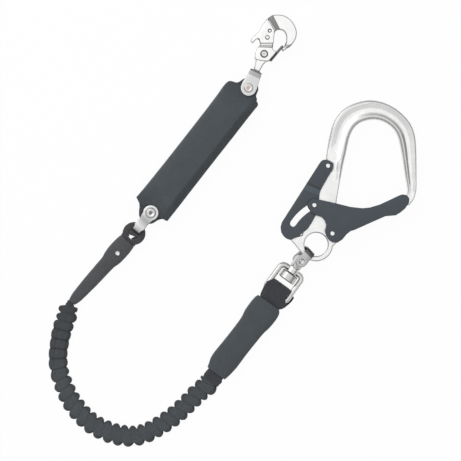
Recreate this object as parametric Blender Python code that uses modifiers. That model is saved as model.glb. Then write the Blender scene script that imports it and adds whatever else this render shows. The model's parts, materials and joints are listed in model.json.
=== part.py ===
"""A shock absorbing single lanyard, laid out flat: snap hook, absorber pack, gathered webbing, scaffold hook.

Units are metres, +Z up. The floor is z = 0. Every hardware group has its own frame, an empty, in which
+Y runs along the group and +Z points up, out of the face that is seen.
"""

import math

import bmesh
import bpy
from mathutils import Matrix, Vector

MM = 0.001

# Fits that all pieces share
FIT = 0.3 * MM
RUN = 0.6 * MM
WELD = 0.00001
ROUND_STEPS = 24
THROUGH = 30.0 * MM

# Where the groups lie, from the middle of the object: x, y, height, and turn about Z in degrees
ORIGIN = (0.02 * MM, 4.97 * MM)
HOOK_AT = (94.0 * MM, -61.4 * MM)
HOOK_TURN = -20.2
SWIVEL_AT = (53.2 * MM, -109.4 * MM)
SWIVEL_TURN = -36.0
SWIVEL_ROLL = 16.0
PACK_AT = (-54.8 * MM, 58.6 * MM)
PACK_TURN = -38.07
UPPER_TURN = -24.4
LOWER_TURN = -39.7
GUARD_TURN = -42.17
SLEEVE_AT = (33.4 * MM, -135.7 * MM)
SLEEVE_TURN = -36.06

# Scaffold hook body
EYE_R = 14.85 * MM
EYE_RIM = 6.9 * MM
SPINE_THICK = 8.0 * MM
BOW_THICK = 14.0 * MM
HOOK_EDGE = 1.2 * MM
GATE_PIVOT = (14.4 * MM, 20.3 * MM)
LEVER_PIVOT = (-20.6 * MM, 99.4 * MM)
PIVOT_SHANK_R = 2.4 * MM
PIVOT_HEAD_R = 2.9 * MM
PIVOT_HEAD_H = 0.9 * MM

# Scaffold hook gate and safety lever, folded from sheet
LEVER_SHEET = 1.6 * MM
LEVER_JOGGLE = 1.2 * MM
LEVER_RAMP = 2.8 * MM
GATE_SHEET = 2.0 * MM
GATE_STOP = (-19.7 * MM, 46.2 * MM)
GATE_STOP_R = 2.1 * MM
GATE_CLEAR_R = math.dist(GATE_PIVOT, GATE_STOP) - GATE_STOP_R - 2.3 * MM
GATE_OPENS = 46.0
CAM_RATIO = 0.13
SLOT_W = 8.2 * MM

# Springs
GATE_SPRING_R = 4.0 * MM
GATE_SPRING_WIRE = 0.55 * MM
GATE_SPRING_TURNS = 3
LEVER_SPRING_R = 2.4 * MM
LEVER_SPRING_WIRE = 0.4 * MM
LEVER_SPRING_Y = 75.0 * MM
LEVER_SPRING_IN = -17.8 * MM
LEVER_SPRING_OUT = -34.4 * MM
LEVER_SPRING_TURNS = 7
LOCK_SPRING_R = 1.6 * MM
LOCK_SPRING_WIRE = 0.35 * MM
LOCK_SPRING_Y = 38.0 * MM
LOCK_SPRING_IN = -4.2 * MM
LOCK_SPRING_OUT = -12.6 * MM
LOCK_SPRING_TURNS = 6

# Small snap hook
SNAP_THICK = 10.0 * MM
SNAP_SHEET = 1.4 * MM
SNAP_EDGE = 1.0 * MM
SNAP_SHANK_TOP = 8.0 * MM
SNAP_CROWN_THICK = 14.0 * MM
SNAP_DIMPLE = (-5.6 * MM, 53.3 * MM)
SNAP_DIMPLE_R = 2.0 * MM
SNAP_GATE_PIVOT = (0.1 * MM, 23.4 * MM)
SNAP_LOCK_PIVOT = (-4.8 * MM, 44.3 * MM)
SNAP_GATE_HEAD_R = 5.0 * MM
SNAP_SHANK_R = 4.2 * MM
SNAP_NUT_R = 5.4 * MM
SNAP_NUT_H = 2.6 * MM
SNAP_BAR = 8.4 * MM

# Shackles: straps bent in a U round their pins
STRAP_SHEET = 2.2 * MM
UPPER_GAP = 12.4 * MM
UPPER_REACH = 24.5 * MM
UPPER_END_R = 10.2 * MM
UPPER_TOP_W = 15.6 * MM
UPPER_BEND = 3.6 * MM
LOWER_GAP = 13.4 * MM
LOWER_BEND = 5.5 * MM
LOWER_REACH = 34.1 * MM
LOWER_END_R = 9.9 * MM
LOWER_NECK_W = 12.4 * MM
LOWER_BOW_W = 11.0 * MM
SHACKLE_PIN_R = 3.4 * MM
SHACKLE_HEAD_R = 5.2 * MM
SHACKLE_HEAD_H = 1.3 * MM
BUSH_WALL = 1.6 * MM

# Shock absorber pack
PIN_SPREAD = 202.4 * MM
PACK_THICK = 20.0 * MM
COVER_WALL = 1.4 * MM
PACK_LOOP_R = 13.2 * MM
PACK_LOOP_SHIFT = -1.2 * MM
PACK_LOOP_THICK = 8.2 * MM
TEAR_LENGTH = 132.0 * MM

# Webbing eye and guard
RING_R = 14.7 * MM
RING_HOLE_R = 7.2 * MM
RING_THICK = 9.0 * MM
GUARD_WALL = 1.4 * MM
GUARD_END = 119.5 * MM
GUARD_RIVET_AT = (1.6 * MM, -32.7 * MM)
GUARD_RIVET_R = 2.0 * MM
GUARD_RIVET_HEAD_R = 3.3 * MM

# Gathered webbing
WEBBING_W = 27.0 * MM
WEBBING_THICK = 8.0 * MM
RIB_PITCH = 12.3 * MM
RIB_STAGGER = -0.25
RIB_VALLEY = 0.72
REST_CUT = 0.5 * MM

# Sleeve and the loop that holds the swivel frame
SLEEVE_WALL = 1.4 * MM
SLEEVE_LENGTH = 113.0 * MM
COLLAR_END = SLEEVE_LENGTH + 12.0 * MM
LOOP_W = 26.4 * MM
LOOP_LAYER = 2.4 * MM
LOOP_TOP = -3.0 * MM

# Swivel frame, stud and link
FRAME_WIRE_R = 3.4 * MM
FRAME_HALF_W = 17.0 * MM
FRAME_TOP = 18.4 * MM
FRAME_BOTTOM = -20.6 * MM
FRAME_CORNER_R = 5.5 * MM
BOSS_R = 7.0 * MM
STUD_R = 4.5 * MM
BARREL_R = 11.1 * MM
BARREL_H = 11.0 * MM
LINK_AT = 34.2 * MM
LINK_GAP = 14.2 * MM
LINK_BEND = 5.5 * MM
LINK_END_R = 7.4 * MM
LINK_BOW_W = 12.6 * MM
LINK_PIN_R = 2.6 * MM
LINK_HEAD_R = 3.6 * MM
LINK_HEAD_H = 1.0 * MM

# Stack of the scaffold hook, from its middle plane outward
LEVER_IN = SPINE_THICK / 2 + RUN
LEVER_OUT = LEVER_IN + LEVER_SHEET
GATE_IN = LEVER_OUT + RUN
GATE_OUT = GATE_IN + GATE_SHEET
HOOK_Z = GATE_OUT + FIT + PIVOT_HEAD_H
SNAP_IN = SNAP_THICK / 2 + RUN
SNAP_OUT = SNAP_IN + SNAP_SHEET
PACK_Z = max(PACK_THICK, max(UPPER_GAP, LOWER_GAP) + 2 * (STRAP_SHEET + FIT + SHACKLE_HEAD_H)) / 2
SWIVEL_Z = BARREL_R + 0.1 * MM

FINISHES = {
    "aluminium": ((0.86, 0.87, 0.88), 0.32, 1.0),
    "steel": ((0.62, 0.63, 0.63), 0.30, 1.0),
    "spring": ((0.45, 0.45, 0.45), 0.35, 1.0),
    "painted": ((0.085, 0.095, 0.11), 0.45, 0.0),
    "cover": ((0.065, 0.075, 0.085), 0.60, 0.0),
    "webbing": ((0.055, 0.06, 0.065), 0.85, 0.0),
}


def clear_scene():
    for old in list(bpy.data.objects):
        bpy.data.objects.remove(old)
    for old in list(bpy.data.collections):
        bpy.data.collections.remove(old)


clear_scene()
parts = bpy.data.collections.new("single_lanyard")
cutters = bpy.data.collections.new("cutters")
bpy.context.scene.collection.children.link(parts)
bpy.context.scene.collection.children.link(cutters)


# Points and outlines

def mm(*points):
    """Points written in millimetres, as metres."""
    return [tuple(value * MM for value in point) for point in points]


def arc(centre, radius, start, end, steps):
    """Points on an arc from start to end degrees, both included."""
    angles = [math.radians(start + (end - start) * i / steps) for i in range(steps + 1)]
    return [(centre[0] + radius * math.cos(a), centre[1] + radius * math.sin(a)) for a in angles]


def circle(centre, radius, steps=ROUND_STEPS):
    return arc(centre, radius, 0, 360, steps)[:-1]


def turned_about(point, centre, degrees):
    """A flat point turned about a centre."""
    a = math.radians(degrees)
    dx, dy = point[0] - centre[0], point[1] - centre[1]
    return (centre[0] + dx * math.cos(a) - dy * math.sin(a), centre[1] + dx * math.sin(a) + dy * math.cos(a))


def smooth(points, per_span, closed=False):
    """A Catmull-Rom curve through points of any dimension."""
    n = len(points)
    spans = n if closed else n - 1
    out = []
    for i in range(spans):
        if closed:
            four = [points[(i + k) % n] for k in (-1, 0, 1, 2)]
        else:
            four = [points[min(max(i + k, 0), n - 1)] for k in (-1, 0, 1, 2)]
        for step in range(per_span):
            t = step / per_span
            out.append(tuple(
                0.5 * (2 * b + (c - a) * t + (2 * a - 5 * b + 4 * c - d) * t * t + (3 * b - a - 3 * c + d) * t ** 3)
                for a, b, c, d in zip(*four)
            ))
    if not closed:
        out.append(tuple(points[-1]))
    return out


def slot_outline(path, half_width, end_steps=5):
    """The outline of a round-ended slot along a path of flat points."""
    def heading(i):
        a, b = path[max(i - 1, 0)], path[min(i + 1, len(path) - 1)]
        return math.degrees(math.atan2(b[1] - a[1], b[0] - a[0]))

    left = [arc(p, half_width, heading(i) + 90, heading(i) + 90, 1)[0] for i, p in enumerate(path)]
    right = [arc(p, half_width, heading(i) - 90, heading(i) - 90, 1)[0] for i, p in enumerate(path)]
    last, first = heading(len(path) - 1), heading(0)
    far = arc(path[-1], half_width, last + 90, last - 90, end_steps)[1:-1]
    near = arc(path[0], half_width, first - 90, first - 270, end_steps)[1:-1]
    return left + far + right[::-1] + near


# Objects

def add_object(name, mesh):
    obj = bpy.data.objects.new(name, mesh)
    parts.objects.link(obj)
    return obj


def tidy_mesh(mesh):
    """Weld what lies together and point the faces out."""
    bm = bmesh.new()
    bm.from_mesh(mesh)
    bmesh.ops.remove_doubles(bm, verts=bm.verts, dist=WELD)
    bmesh.ops.dissolve_degenerate(bm, edges=bm.edges, dist=WELD / 10)
    bmesh.ops.recalc_face_normals(bm, faces=bm.faces)
    bm.to_mesh(mesh)
    bm.free()


def solid_from_curve(name, curve):
    """The closed mesh of a curve, which is removed."""
    guide = bpy.data.objects.new(name + "_curve", curve)
    cutters.objects.link(guide)
    bpy.context.view_layer.update()
    seen = guide.evaluated_get(bpy.context.evaluated_depsgraph_get())
    mesh = bpy.data.meshes.new_from_object(seen)
    mesh.transform(guide.matrix_world)
    bpy.data.objects.remove(guide)
    bpy.data.curves.remove(curve)
    tidy_mesh(mesh)
    return add_object(name, mesh)


def fill_spline(curve, points, cyclic):
    spline = curve.splines.new("POLY")
    spline.points.add(len(points) - 1)
    for node, point in zip(spline.points, points):
        node.co = (*point, 0.0, 1.0) if len(point) == 2 else (*point, 1.0)
    spline.use_cyclic_u = cyclic


def flat(name, outline, half, holes=(), edge=0.0):
    """A flat outline with holes, half thick each way from z = 0, its edges chamfered by edge."""
    curve = bpy.data.curves.new(name, "CURVE")
    curve.dimensions = "2D"
    curve.fill_mode = "BOTH"
    curve.extrude = half - edge
    curve.bevel_depth = edge
    curve.bevel_resolution = 0
    curve.offset = -edge
    for ring in (outline, *holes):
        fill_spline(curve, ring, True)
    return solid_from_curve(name, curve)


def tube(name, points, radius, cyclic=False, resolution=2):
    """A round wire or bar along points."""
    curve = bpy.data.curves.new(name, "CURVE")
    curve.dimensions = "3D"
    curve.bevel_depth = radius
    curve.bevel_resolution = resolution
    curve.use_fill_caps = not cyclic
    fill_spline(curve, points, cyclic)
    return solid_from_curve(name, curve)


def turned(name, profile, steps=ROUND_STEPS):
    """A turned piece about Z from a profile of (radius, height), outer side top to bottom."""
    closed = profile[0] == profile[-1]
    points = profile[:-1] if closed else profile
    edges = [(i, i + 1) for i in range(len(points) - 1)] + ([(len(points) - 1, 0)] if closed else [])
    mesh = bpy.data.meshes.new(name)
    mesh.from_pydata([(r, 0.0, z) for r, z in points], edges, [])
    obj = add_object(name, mesh)
    screw = obj.modifiers.new("turn", "SCREW")
    screw.steps = steps
    screw.render_steps = steps
    screw.use_merge_vertices = True
    screw.merge_threshold = WELD
    screw.use_smooth_shade = True
    return obj


def loft(name, rings):
    """A closed solid through rings of points, all with the same count, capped at both ends."""
    bm = bmesh.new()
    rows = [[bm.verts.new(point) for point in ring] for ring in rings]
    for low, high in zip(rows, rows[1:]):
        for i in range(len(low)):
            j = (i + 1) % len(low)
            bm.faces.new((low[i], low[j], high[j], high[i]))
    bm.faces.new(rows[0][::-1])
    bm.faces.new(rows[-1])
    bmesh.ops.recalc_face_normals(bm, faces=bm.faces)
    bmesh.ops.triangulate(bm, faces=bm.faces)
    mesh = bpy.data.meshes.new(name)
    bm.to_mesh(mesh)
    bm.free()
    return add_object(name, mesh)


def pillow(left, right, half, count=16, power=3.0):
    """A flattened section from left to right, half thick, fuller than an ellipse."""
    middle, half_w = (left + right) / 2, (right - left) / 2
    out = []
    for i in range(count):
        a = 2 * math.pi * i / count
        c, s = math.cos(a), math.sin(a)
        out.append((
            middle + half_w * math.copysign(abs(c) ** (2 / power), c),
            half * math.copysign(abs(s) ** (2 / power), s),
        ))
    return out


def lofted_pad(name, stations, shrink=0.0, reach=0.0, power=3.0, floor=-1.0):
    """A pad along Y through (y, left, right, half thickness, middle height), thinner by shrink all round.

    The pad is pressed flat where it would sink below floor. power may depend on y."""
    rings = []
    for i, (y, left, right, half, z) in enumerate(stations):
        end = -reach if i == 0 else reach if i == len(stations) - 1 else 0.0
        along = end * (1 if stations[-1][0] > stations[0][0] else -1)
        fullness = power(y) if callable(power) else power
        section = pillow(left + shrink, right - shrink, half - shrink, power=fullness)
        rings.append([(x, y + along, max(z + up, floor + shrink)) for x, up in section])
    return loft(name, rings)


def rod(name, radius, low, high, axis="Z", at=(0.0, 0.0, 0.0), steps=ROUND_STEPS):
    """A cylinder from low to high along an axis through at."""
    bm = bmesh.new()
    bmesh.ops.create_cone(
        bm, cap_ends=True, segments=steps, radius1=radius, radius2=radius, depth=high - low,
        matrix=Matrix.Translation((0, 0, (low + high) / 2)),
    )
    mesh = bpy.data.meshes.new(name)
    bm.to_mesh(mesh)
    bm.free()
    turn = {"Z": Matrix(), "X": Matrix.Rotation(math.pi / 2, 4, "Y"), "Y": Matrix.Rotation(-math.pi / 2, 4, "X")}
    mesh.transform(Matrix.Translation(at) @ turn[axis])
    return add_object(name, mesh)


def block(name, low, high):
    """A box between two corners."""
    bm = bmesh.new()
    size = [b - a for a, b in zip(low, high)]
    middle = [(a + b) / 2 for a, b in zip(low, high)]
    bmesh.ops.create_cube(bm, size=1.0, matrix=Matrix.Translation(middle) @ Matrix.Diagonal((*size, 1.0)))
    mesh = bpy.data.meshes.new(name)
    bm.to_mesh(mesh)
    bm.free()
    return add_object(name, mesh)


def shape(obj, tool, operation="DIFFERENCE"):
    """Cut, join or intersect obj with a tool that then rides on it, hidden."""
    change = obj.modifiers.new(tool.name, "BOOLEAN")
    change.operation = operation
    change.solver = "EXACT"
    change.object = tool
    tool.parent = obj
    tool.hide_render = True
    tool.display_type = "WIRE"
    parts.objects.unlink(tool)
    cutters.objects.link(tool)
    return obj


def frame(name, at, turn=0.0, roll=0.0, parent=None):
    """An empty that carries a group: its place, its turn about Z and its roll about its own length."""
    empty = bpy.data.objects.new(name, None)
    empty.empty_display_size = 10 * MM
    parts.objects.link(empty)
    empty.matrix_local = (
        Matrix.Translation(at)
        @ Matrix.Rotation(math.radians(turn), 4, "Z")
        @ Matrix.Rotation(math.radians(roll), 4, "Y")
    )
    if parent:
        empty.parent = parent
        empty.matrix_parent_inverse = Matrix()
    return empty


def joint_frame(name, parent, at):
    """An empty on a joint's axis, in its parent's own coordinates."""
    return frame(name, (*at, 0.0), parent=parent)


def finish(obj, look, carrier, drawn_from=(0.0, 0.0), crease=35.0):
    """Give a piece its material and hang it on its carrier; drawn_from is where the carrier sits in the drawing."""
    colour, roughness, metallic = FINISHES[look]
    material = bpy.data.materials.new(obj.name)
    material.use_nodes = True
    shader = material.node_tree.nodes["Principled BSDF"]
    shader.inputs["Base Color"].default_value = (*colour, 1.0)
    shader.inputs["Roughness"].default_value = roughness
    shader.inputs["Metallic"].default_value = metallic
    obj.data.materials.clear()
    obj.data.materials.append(material)
    obj.data.shade_smooth()
    obj.data.set_sharp_from_angle(angle=math.radians(crease))
    obj.parent = carrier
    obj.location = (-drawn_from[0], -drawn_from[1], 0.0)
    return obj


def rivet(name, reach, shank_r, head_r, head_h, dish=0.0):
    """A rivet through a stack reach thick each way; dish sinks the middle of its heads."""
    top = reach + head_h
    crown = [(0.0, top - dish), (0.45 * head_r, top - dish), (0.72 * head_r, top), (head_r, reach + 0.4 * head_h)]
    upper = [*crown, (head_r, reach), (shank_r, reach)]
    lower = [(r, -z) for r, z in reversed(upper)]
    return turned(name, upper + lower, 20 if head_r > 4 * MM else 16)


def ring_bush(name, inner_r, outer_r, half):
    """A plain bush about Z."""
    profile = [(inner_r, half), (outer_r, half), (outer_r, -half), (inner_r, -half), (inner_r, half)]
    return turned(name, profile)


def torsion_spring(name, radius, wire, turns, height, leg_a, leg_b, start):
    """A coil about Z with a straight leg at each end, leg ends given from its axis."""
    per_turn = 10
    count = int(turns * per_turn)
    coil = []
    for i in range(count + 1):
        a = math.radians(start) + 2 * math.pi * i / per_turn
        coil.append((radius * math.cos(a), radius * math.sin(a), height * (i / count - 0.5)))
    points = [(*leg_a, -height / 2), *coil, (*leg_b, height / 2)]
    return tube(name, points, wire, resolution=1)


def coil_spring(name, radius, wire, turns, start, end, y):
    """A compression spring along X at height y of its frame."""
    per_turn = 9
    count = int(turns * per_turn)
    points = []
    for i in range(count + 1):
        a = 2 * math.pi * i / per_turn
        points.append((start + (end - start) * i / count, y + radius * math.cos(a), radius * math.sin(a)))
    return tube(name, points, wire, resolution=1)


def strap(name, plan, gap, reach, bend_r, far):
    """A sheet strap bent in a U: its side view along Y, trimmed to a plan outline.

    gap is the room between its legs, reach the outer face of the bow, far the legs' free end."""
    inner = gap / 2
    outer = inner + STRAP_SHEET
    sign = 1 if reach > far else -1
    turn = max(bend_r - STRAP_SHEET, 0.2 * MM)
    bow = reach - sign * bend_r

    def corner(radius, height, start):
        return [(bow + sign * x, y) for x, y in arc((0, height), radius, start, start - 90, 6)]

    outline = [(far, outer), *corner(bend_r, outer - bend_r, 90), *corner(bend_r, bend_r - outer, 0), (far, -outer)]
    cavity = [(far, -inner), *[(a, b) for a, b in reversed(corner(turn, turn - inner, 0))]]
    cavity += [*[(a, b) for a, b in reversed(corner(turn, inner - turn, 90))], (far, inner)]
    side = flat(name, outline + cavity, UPPER_END_R * 1.5)
    side.data.transform(Matrix(((0, 0, 1, 0), (1, 0, 0, 0), (0, 1, 0, 0), (0, 0, 0, 1))))
    tidy_mesh(side.data)
    return shape(side, flat(name + "_plan", plan, outer * 2), "INTERSECT")


# Frames of the groups

root = frame("lanyard_origin", (*ORIGIN, 0.0))
pack_frame = frame("pack_frame", (*PACK_AT, PACK_Z), PACK_TURN, parent=root)
upper_frame = frame("upper_pin_axis", (0.0, PIN_SPREAD / 2, 0.0), UPPER_TURN - PACK_TURN, parent=pack_frame)
lower_frame = frame("lower_pin_axis", (0.0, -PIN_SPREAD / 2, 0.0), LOWER_TURN - PACK_TURN, parent=pack_frame)
ring_frame = frame("ring_axis", (0.0, -LOWER_REACH, 0.0), GUARD_TURN - LOWER_TURN, parent=lower_frame)
snap_frame = joint_frame("snap_swivel_axis", upper_frame, (0.0, UPPER_REACH))
snap_gate_frame = joint_frame("snap_gate_axis", snap_frame, SNAP_GATE_PIVOT)
snap_lock_frame = joint_frame("snap_lock_axis", snap_frame, SNAP_LOCK_PIVOT)
sleeve_frame = frame("sleeve_frame", (*SLEEVE_AT, 0.0), SLEEVE_TURN, parent=root)
swivel_frame = frame("swivel_group", (*SWIVEL_AT, SWIVEL_Z), SWIVEL_TURN, SWIVEL_ROLL, parent=root)
bar_frame = joint_frame("frame_bar_axis", swivel_frame, (0.0, FRAME_BOTTOM))
stud_frame = joint_frame("stud_axis", swivel_frame, (0.0, LINK_AT))
hook_frame = frame("hook_eye_axis", (*HOOK_AT, HOOK_Z), HOOK_TURN, parent=root)
gate_frame = joint_frame("gate_axis", hook_frame, GATE_PIVOT)
lever_frame = joint_frame("lever_axis", hook_frame, LEVER_PIVOT)
bpy.context.view_layer.update()


def link_direction():
    """The link's turn, so that it points from its rivet to the middle of the hook's eye."""
    rivet_at = swivel_frame.matrix_world @ Vector((0, LINK_AT, 0))
    eye_at = hook_frame.matrix_world.translation
    away = eye_at - rivet_at
    return math.degrees(math.atan2(-away.x, away.y)), math.hypot(away.x, away.y)


LINK_TURN, LINK_LENGTH = link_direction()
link_frame = frame("link_axis", (0.0, 0.0, 0.0), LINK_TURN - SWIVEL_TURN, parent=stud_frame)
bpy.context.view_layer.update()


# Scaffold hook

BOW_STATIONS = mm(
    # outer edge x, y, then inner edge x, y, from the spine round the crown to the nose
    (-15.0, 84.0, 1.2, 84.0),
    (-19.5, 96.0, -0.8, 96.0),
    (-26.2, 107.5, -2.7, 107.5),
    (-29.3, 121.0, -4.4, 122.5),
    (-32.3, 139.5, -7.0, 140.0),
    (-32.9, 156.0, -6.6, 153.0),
    (-28.0, 172.5, -3.9, 160.9),
    (-17.7, 185.1, 1.6, 167.9),
    (-1.3, 196.2, 10.9, 174.2),
    (16.4, 200.0, 21.5, 177.0),
    (34.8, 198.3, 31.9, 176.4),
    (52.2, 191.7, 42.3, 172.4),
    (64.7, 182.0, 50.2, 165.8),
    (73.8, 168.3, 57.4, 155.5),
    (82.1, 148.2, 66.6, 139.7),
    (90.7, 125.4, 77.1, 120.4),
    (96.3, 109.8, 85.2, 105.7),
    (97.3, 97.0, 86.3, 97.5),
    (94.6, 88.6, 84.8, 91.6),
)
# How far the outer and the inner rim have risen from the flat spine, and the groove's depth, at each station
OUTER_RIM = (0.0, 0.0, 0.0, 0.35, 0.9) + (1.0,) * 14
INNER_RIM = (0.0, 0.45, 0.75, 0.92, 1.0) + (1.0,) * 14
GROOVE = (1.0,) * 13 + (0.9, 0.8, 0.6, 0.3, 0.0, 0.0)
# Across the bow: share of the width, share of full thickness, share of the groove's depth
BOW_SECTION = (
    (0.0, 0.55, 0.0), (0.04, 0.88, 0.0), (0.10, 1.0, 0.0), (0.17, 1.0, 0.1), (0.40, 1.0, 1.0),
    (0.64, 1.0, 1.0), (0.76, 1.0, 0.15), (0.85, 1.0, 0.0), (0.95, 0.80, 0.0), (1.0, 0.42, 0.0),
)


def bow_rings():
    """Sections of the hook's bow, its rims fading into the spine and thinner where the gate closes over the nose."""
    nose_half = GATE_IN - RUN
    base = SPINE_THICK / 2 - WELD
    deep = BOW_THICK / 2 - base
    rows = [(*edges, *shares, i) for i, (edges, *shares) in enumerate(zip(BOW_STATIONS, OUTER_RIM, INNER_RIM, GROOVE))]
    last = len(BOW_STATIONS) - 1
    rings = []
    for ox, oy, ix, iy, outer, inner, share, place in smooth(rows, 2):
        near_nose = max(0.0, min(1.0, (place - (last - 3)) / 2))
        full = BOW_THICK / 2 * (1 - near_nose) + nose_half * near_nose
        upper = []
        for across, thick, groove in BOW_SECTION:
            rim = base + (full - base) * (outer if across < 0.5 else inner)
            floor = min(rim, full - share * deep)
            z = (rim + (floor - rim) * groove) * thick
            upper.append((ox + (ix - ox) * across, oy + (iy - oy) * across, z))
        rings.append(upper + [(x, y, -z) for x, y, z in reversed(upper)])
    tip = [Vector(point) for point in rings[-1]]
    middle = sum(tip, Vector()) / len(tip)
    along = (Vector(rings[-1][0]) - Vector(rings[-3][0])).normalized()
    rings.append([tuple(middle + (point - middle) * 0.7 + along * 2.4 * MM) for point in tip])
    return rings


def hook_spine_outline():
    """The flat lower part of the hook: lug, eye rim, pivot seat and the neck up to the bow."""
    rim = arc((0, 0), EYE_R + EYE_RIM, 14, -126, 12)
    lug = mm((-27.5, -8.7), (-31.6, -7.0), (-32.9, -4.4), (-32.2, -1.6), (-29.6, -0.2))
    hollow = arc(GATE_PIVOT, GATE_CLEAR_R, 203, 142, 8)
    neck = mm((-17.9, 54.1), (-20.6, 64.5), (-22.7, 72.8), (-24.6, 86.9), (-25.6, 105.0), (-25.4, 118.0))
    top = mm((-7.5, 120.0), (-2.4, 106.0), (0.0, 90.7), (2.6, 76.0), (5.0, 62.5), (8.2, 52.6), (12.8, 44.9))
    seat = mm((18.6, 37.6), (22.7, 30.9), (24.9, 23.0), (25.0, 15.4), (23.4, 9.6))
    return rim + lug + hollow + neck + top + seat


def gate_spring_pocket(pivot, coil_r, half, open_to):
    low = (pivot[0] - coil_r - 1.9 * MM, pivot[1] - coil_r - 1.9 * MM, -half)
    high = (open_to, pivot[1] + coil_r + 3.4 * MM, half)
    return block("spring_pocket", low, high)


def make_hook_body():
    pivots = [circle(GATE_PIVOT, PIVOT_SHANK_R + FIT, 16), circle(LEVER_PIVOT, PIVOT_SHANK_R + FIT, 16)]
    eye = circle((0, 0), EYE_R, 32)
    body = flat("hook_body", hook_spine_outline(), SPINE_THICK / 2, [eye, *pivots], HOOK_EDGE)
    shape(body, loft("hook_bow", bow_rings()), "UNION")
    shape(body, rod("lever_pivot_hole", PIVOT_SHANK_R + FIT, -THROUGH, THROUGH, "Z", (*LEVER_PIVOT, 0.0), 16))
    spring_half = GATE_SPRING_TURNS * GATE_SPRING_WIRE * 2.4 / 2 + GATE_SPRING_WIRE + FIT
    shape(body, gate_spring_pocket(GATE_PIVOT, GATE_SPRING_R, spring_half, GATE_PIVOT[0] + 20 * MM))
    bore_r = LEVER_SPRING_R + LEVER_SPRING_WIRE + FIT
    bore_at = (0.0, LEVER_SPRING_Y, 0.0)
    bore_end = LEVER_SPRING_IN + LEVER_SPRING_WIRE + FIT
    shape(body, rod("lever_spring_bore", bore_r, LEVER_SPRING_OUT, bore_end, "X", bore_at, 16))
    return finish(body, "aluminium", hook_frame)


def make_hook_gate():
    arm = arc(GATE_STOP, 8.3 * MM, 215, 95, 6)
    top = mm((-8.0, 56.2), (5.9, 58.1), (24.3, 60.1), (39.3, 63.8), (48.5, 68.3), (59.2, 76.3), (69.2, 86.2),
             (77.1, 94.5), (81.2, 98.1), (86.4, 98.9), (91.0, 96.2), (92.5, 91.0))
    web = mm((90.4, 82.0), (86.2, 74.8), (82.1, 69.8), (70.4, 64.4), (55.3, 49.9), (40.3, 35.1), (35.0, 30.9))
    foot = mm((31.6, 25.3), (29.0, 17.5), (24.4, 11.4), (19.0, 9.6), (13.8, 10.6), (8.6, 13.9), (4.6, 19.5),
              (3.4, 27.8), (-0.4, 32.6), (-6.1, 35.2), (-13.4, 34.9), (-20.0, 36.6))
    outline = arm + top + web + foot
    holes = [circle(GATE_PIVOT, PIVOT_SHANK_R + FIT, 16), circle(GATE_STOP, GATE_STOP_R + FIT, 12)]
    gate = flat("hook_gate", outline, GATE_OUT, holes)
    hollow = mm((80.5, 72.5), (86.8, 66.0), (110.0, 66.0), (110.0, 120.0), (-60.0, 120.0), (-60.0, -20.0),
                (40.0, -20.0), (40.0, 27.0), (33.8, 33.2), (38.7, 36.7), (53.7, 51.5), (68.8, 66.3))
    shape(gate, flat("gate_hollow", hollow, GATE_IN))
    return finish(gate, "painted", gate_frame, GATE_PIVOT)


def cam_path():
    """The stop pin's way over the lever while lever and gate turn together."""
    path, first, steps = [], 1.2, 10
    for step in range(steps + 1):
        opening = first + (GATE_OPENS - first) * step / steps
        at = turned_about(GATE_STOP, GATE_PIVOT, opening)
        path.append(turned_about(at, LEVER_PIVOT, -CAM_RATIO * opening))
    return path


def make_safety_lever():
    """The folded lever: straight sides up to a joggle, wider round its pivot, closed along its back."""
    outline = mm((-31.4, 100.3), (-30.0, 103.6), (-26.8, 105.8), (-22.6, 106.2), (-18.0, 105.4), (-14.9, 102.6),
                 (-14.0, 98.0), (-16.2, 83.0), (-18.7, 67.5), (-18.3, 60.8), (-16.1, 54.8), (-13.2, 44.0),
                 (-13.4, 34.6), (-15.2, 23.5), (-16.9, 15.1), (-20.6, 9.3), (-24.2, 2.7), (-28.3, -1.6),
                 (-33.2, -6.1), (-38.0, -6.1), (-42.4, -4.5), (-47.0, -0.9), (-50.2, 5.2), (-50.8, 12.0),
                 (-44.4, 41.2))
    wide = LEVER_OUT + LEVER_JOGGLE
    holes = [circle(LEVER_PIVOT, PIVOT_SHANK_R + FIT, 16), slot_outline(cam_path(), SLOT_W / 2)]
    lever = flat("safety_lever", outline, wide, holes)
    inside = mm((-29.6, 101.0), (-29.0, 115.0), (0.0, 115.0), (0.0, -15.0), (-60.0, -15.0), (-60.0, 12.5),
                (-49.0, 12.5), (-42.7, 41.2))
    shape(lever, flat("lever_hollow", inside, LEVER_IN))
    shoulder = mm((-29.4, 101.0), (-28.9, 116.0), (1.0, 116.0), (1.0, 69.0), (-36.4, 71.0))
    shape(lever, flat("shoulder_hollow", shoulder, LEVER_IN + LEVER_JOGGLE))
    for side in (1, -1):
        rings = []
        for x, crease in mm((-70.0, 71.0), (10.0, 64.2)):
            above = wide + MM
            ramp = (above - LEVER_OUT) * LEVER_RAMP / LEVER_JOGGLE
            profile = [(-THROUGH, LEVER_OUT), (crease, LEVER_OUT), (crease + ramp, above), (-THROUGH, above)]
            rings.append([(x, y, side * z) for y, z in profile])
        shape(lever, loft("lever_step_%d" % side, rings))
    return finish(lever, "painted", lever_frame, LEVER_PIVOT)


def seat_rivet(obj, look, carrier, at, drawn_from=(0.0, 0.0)):
    """Stand a rivet at a point of the drawing."""
    finish(obj, look, carrier)
    obj.location = (at[0] - drawn_from[0], at[1] - drawn_from[1], 0.0)
    return obj


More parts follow.
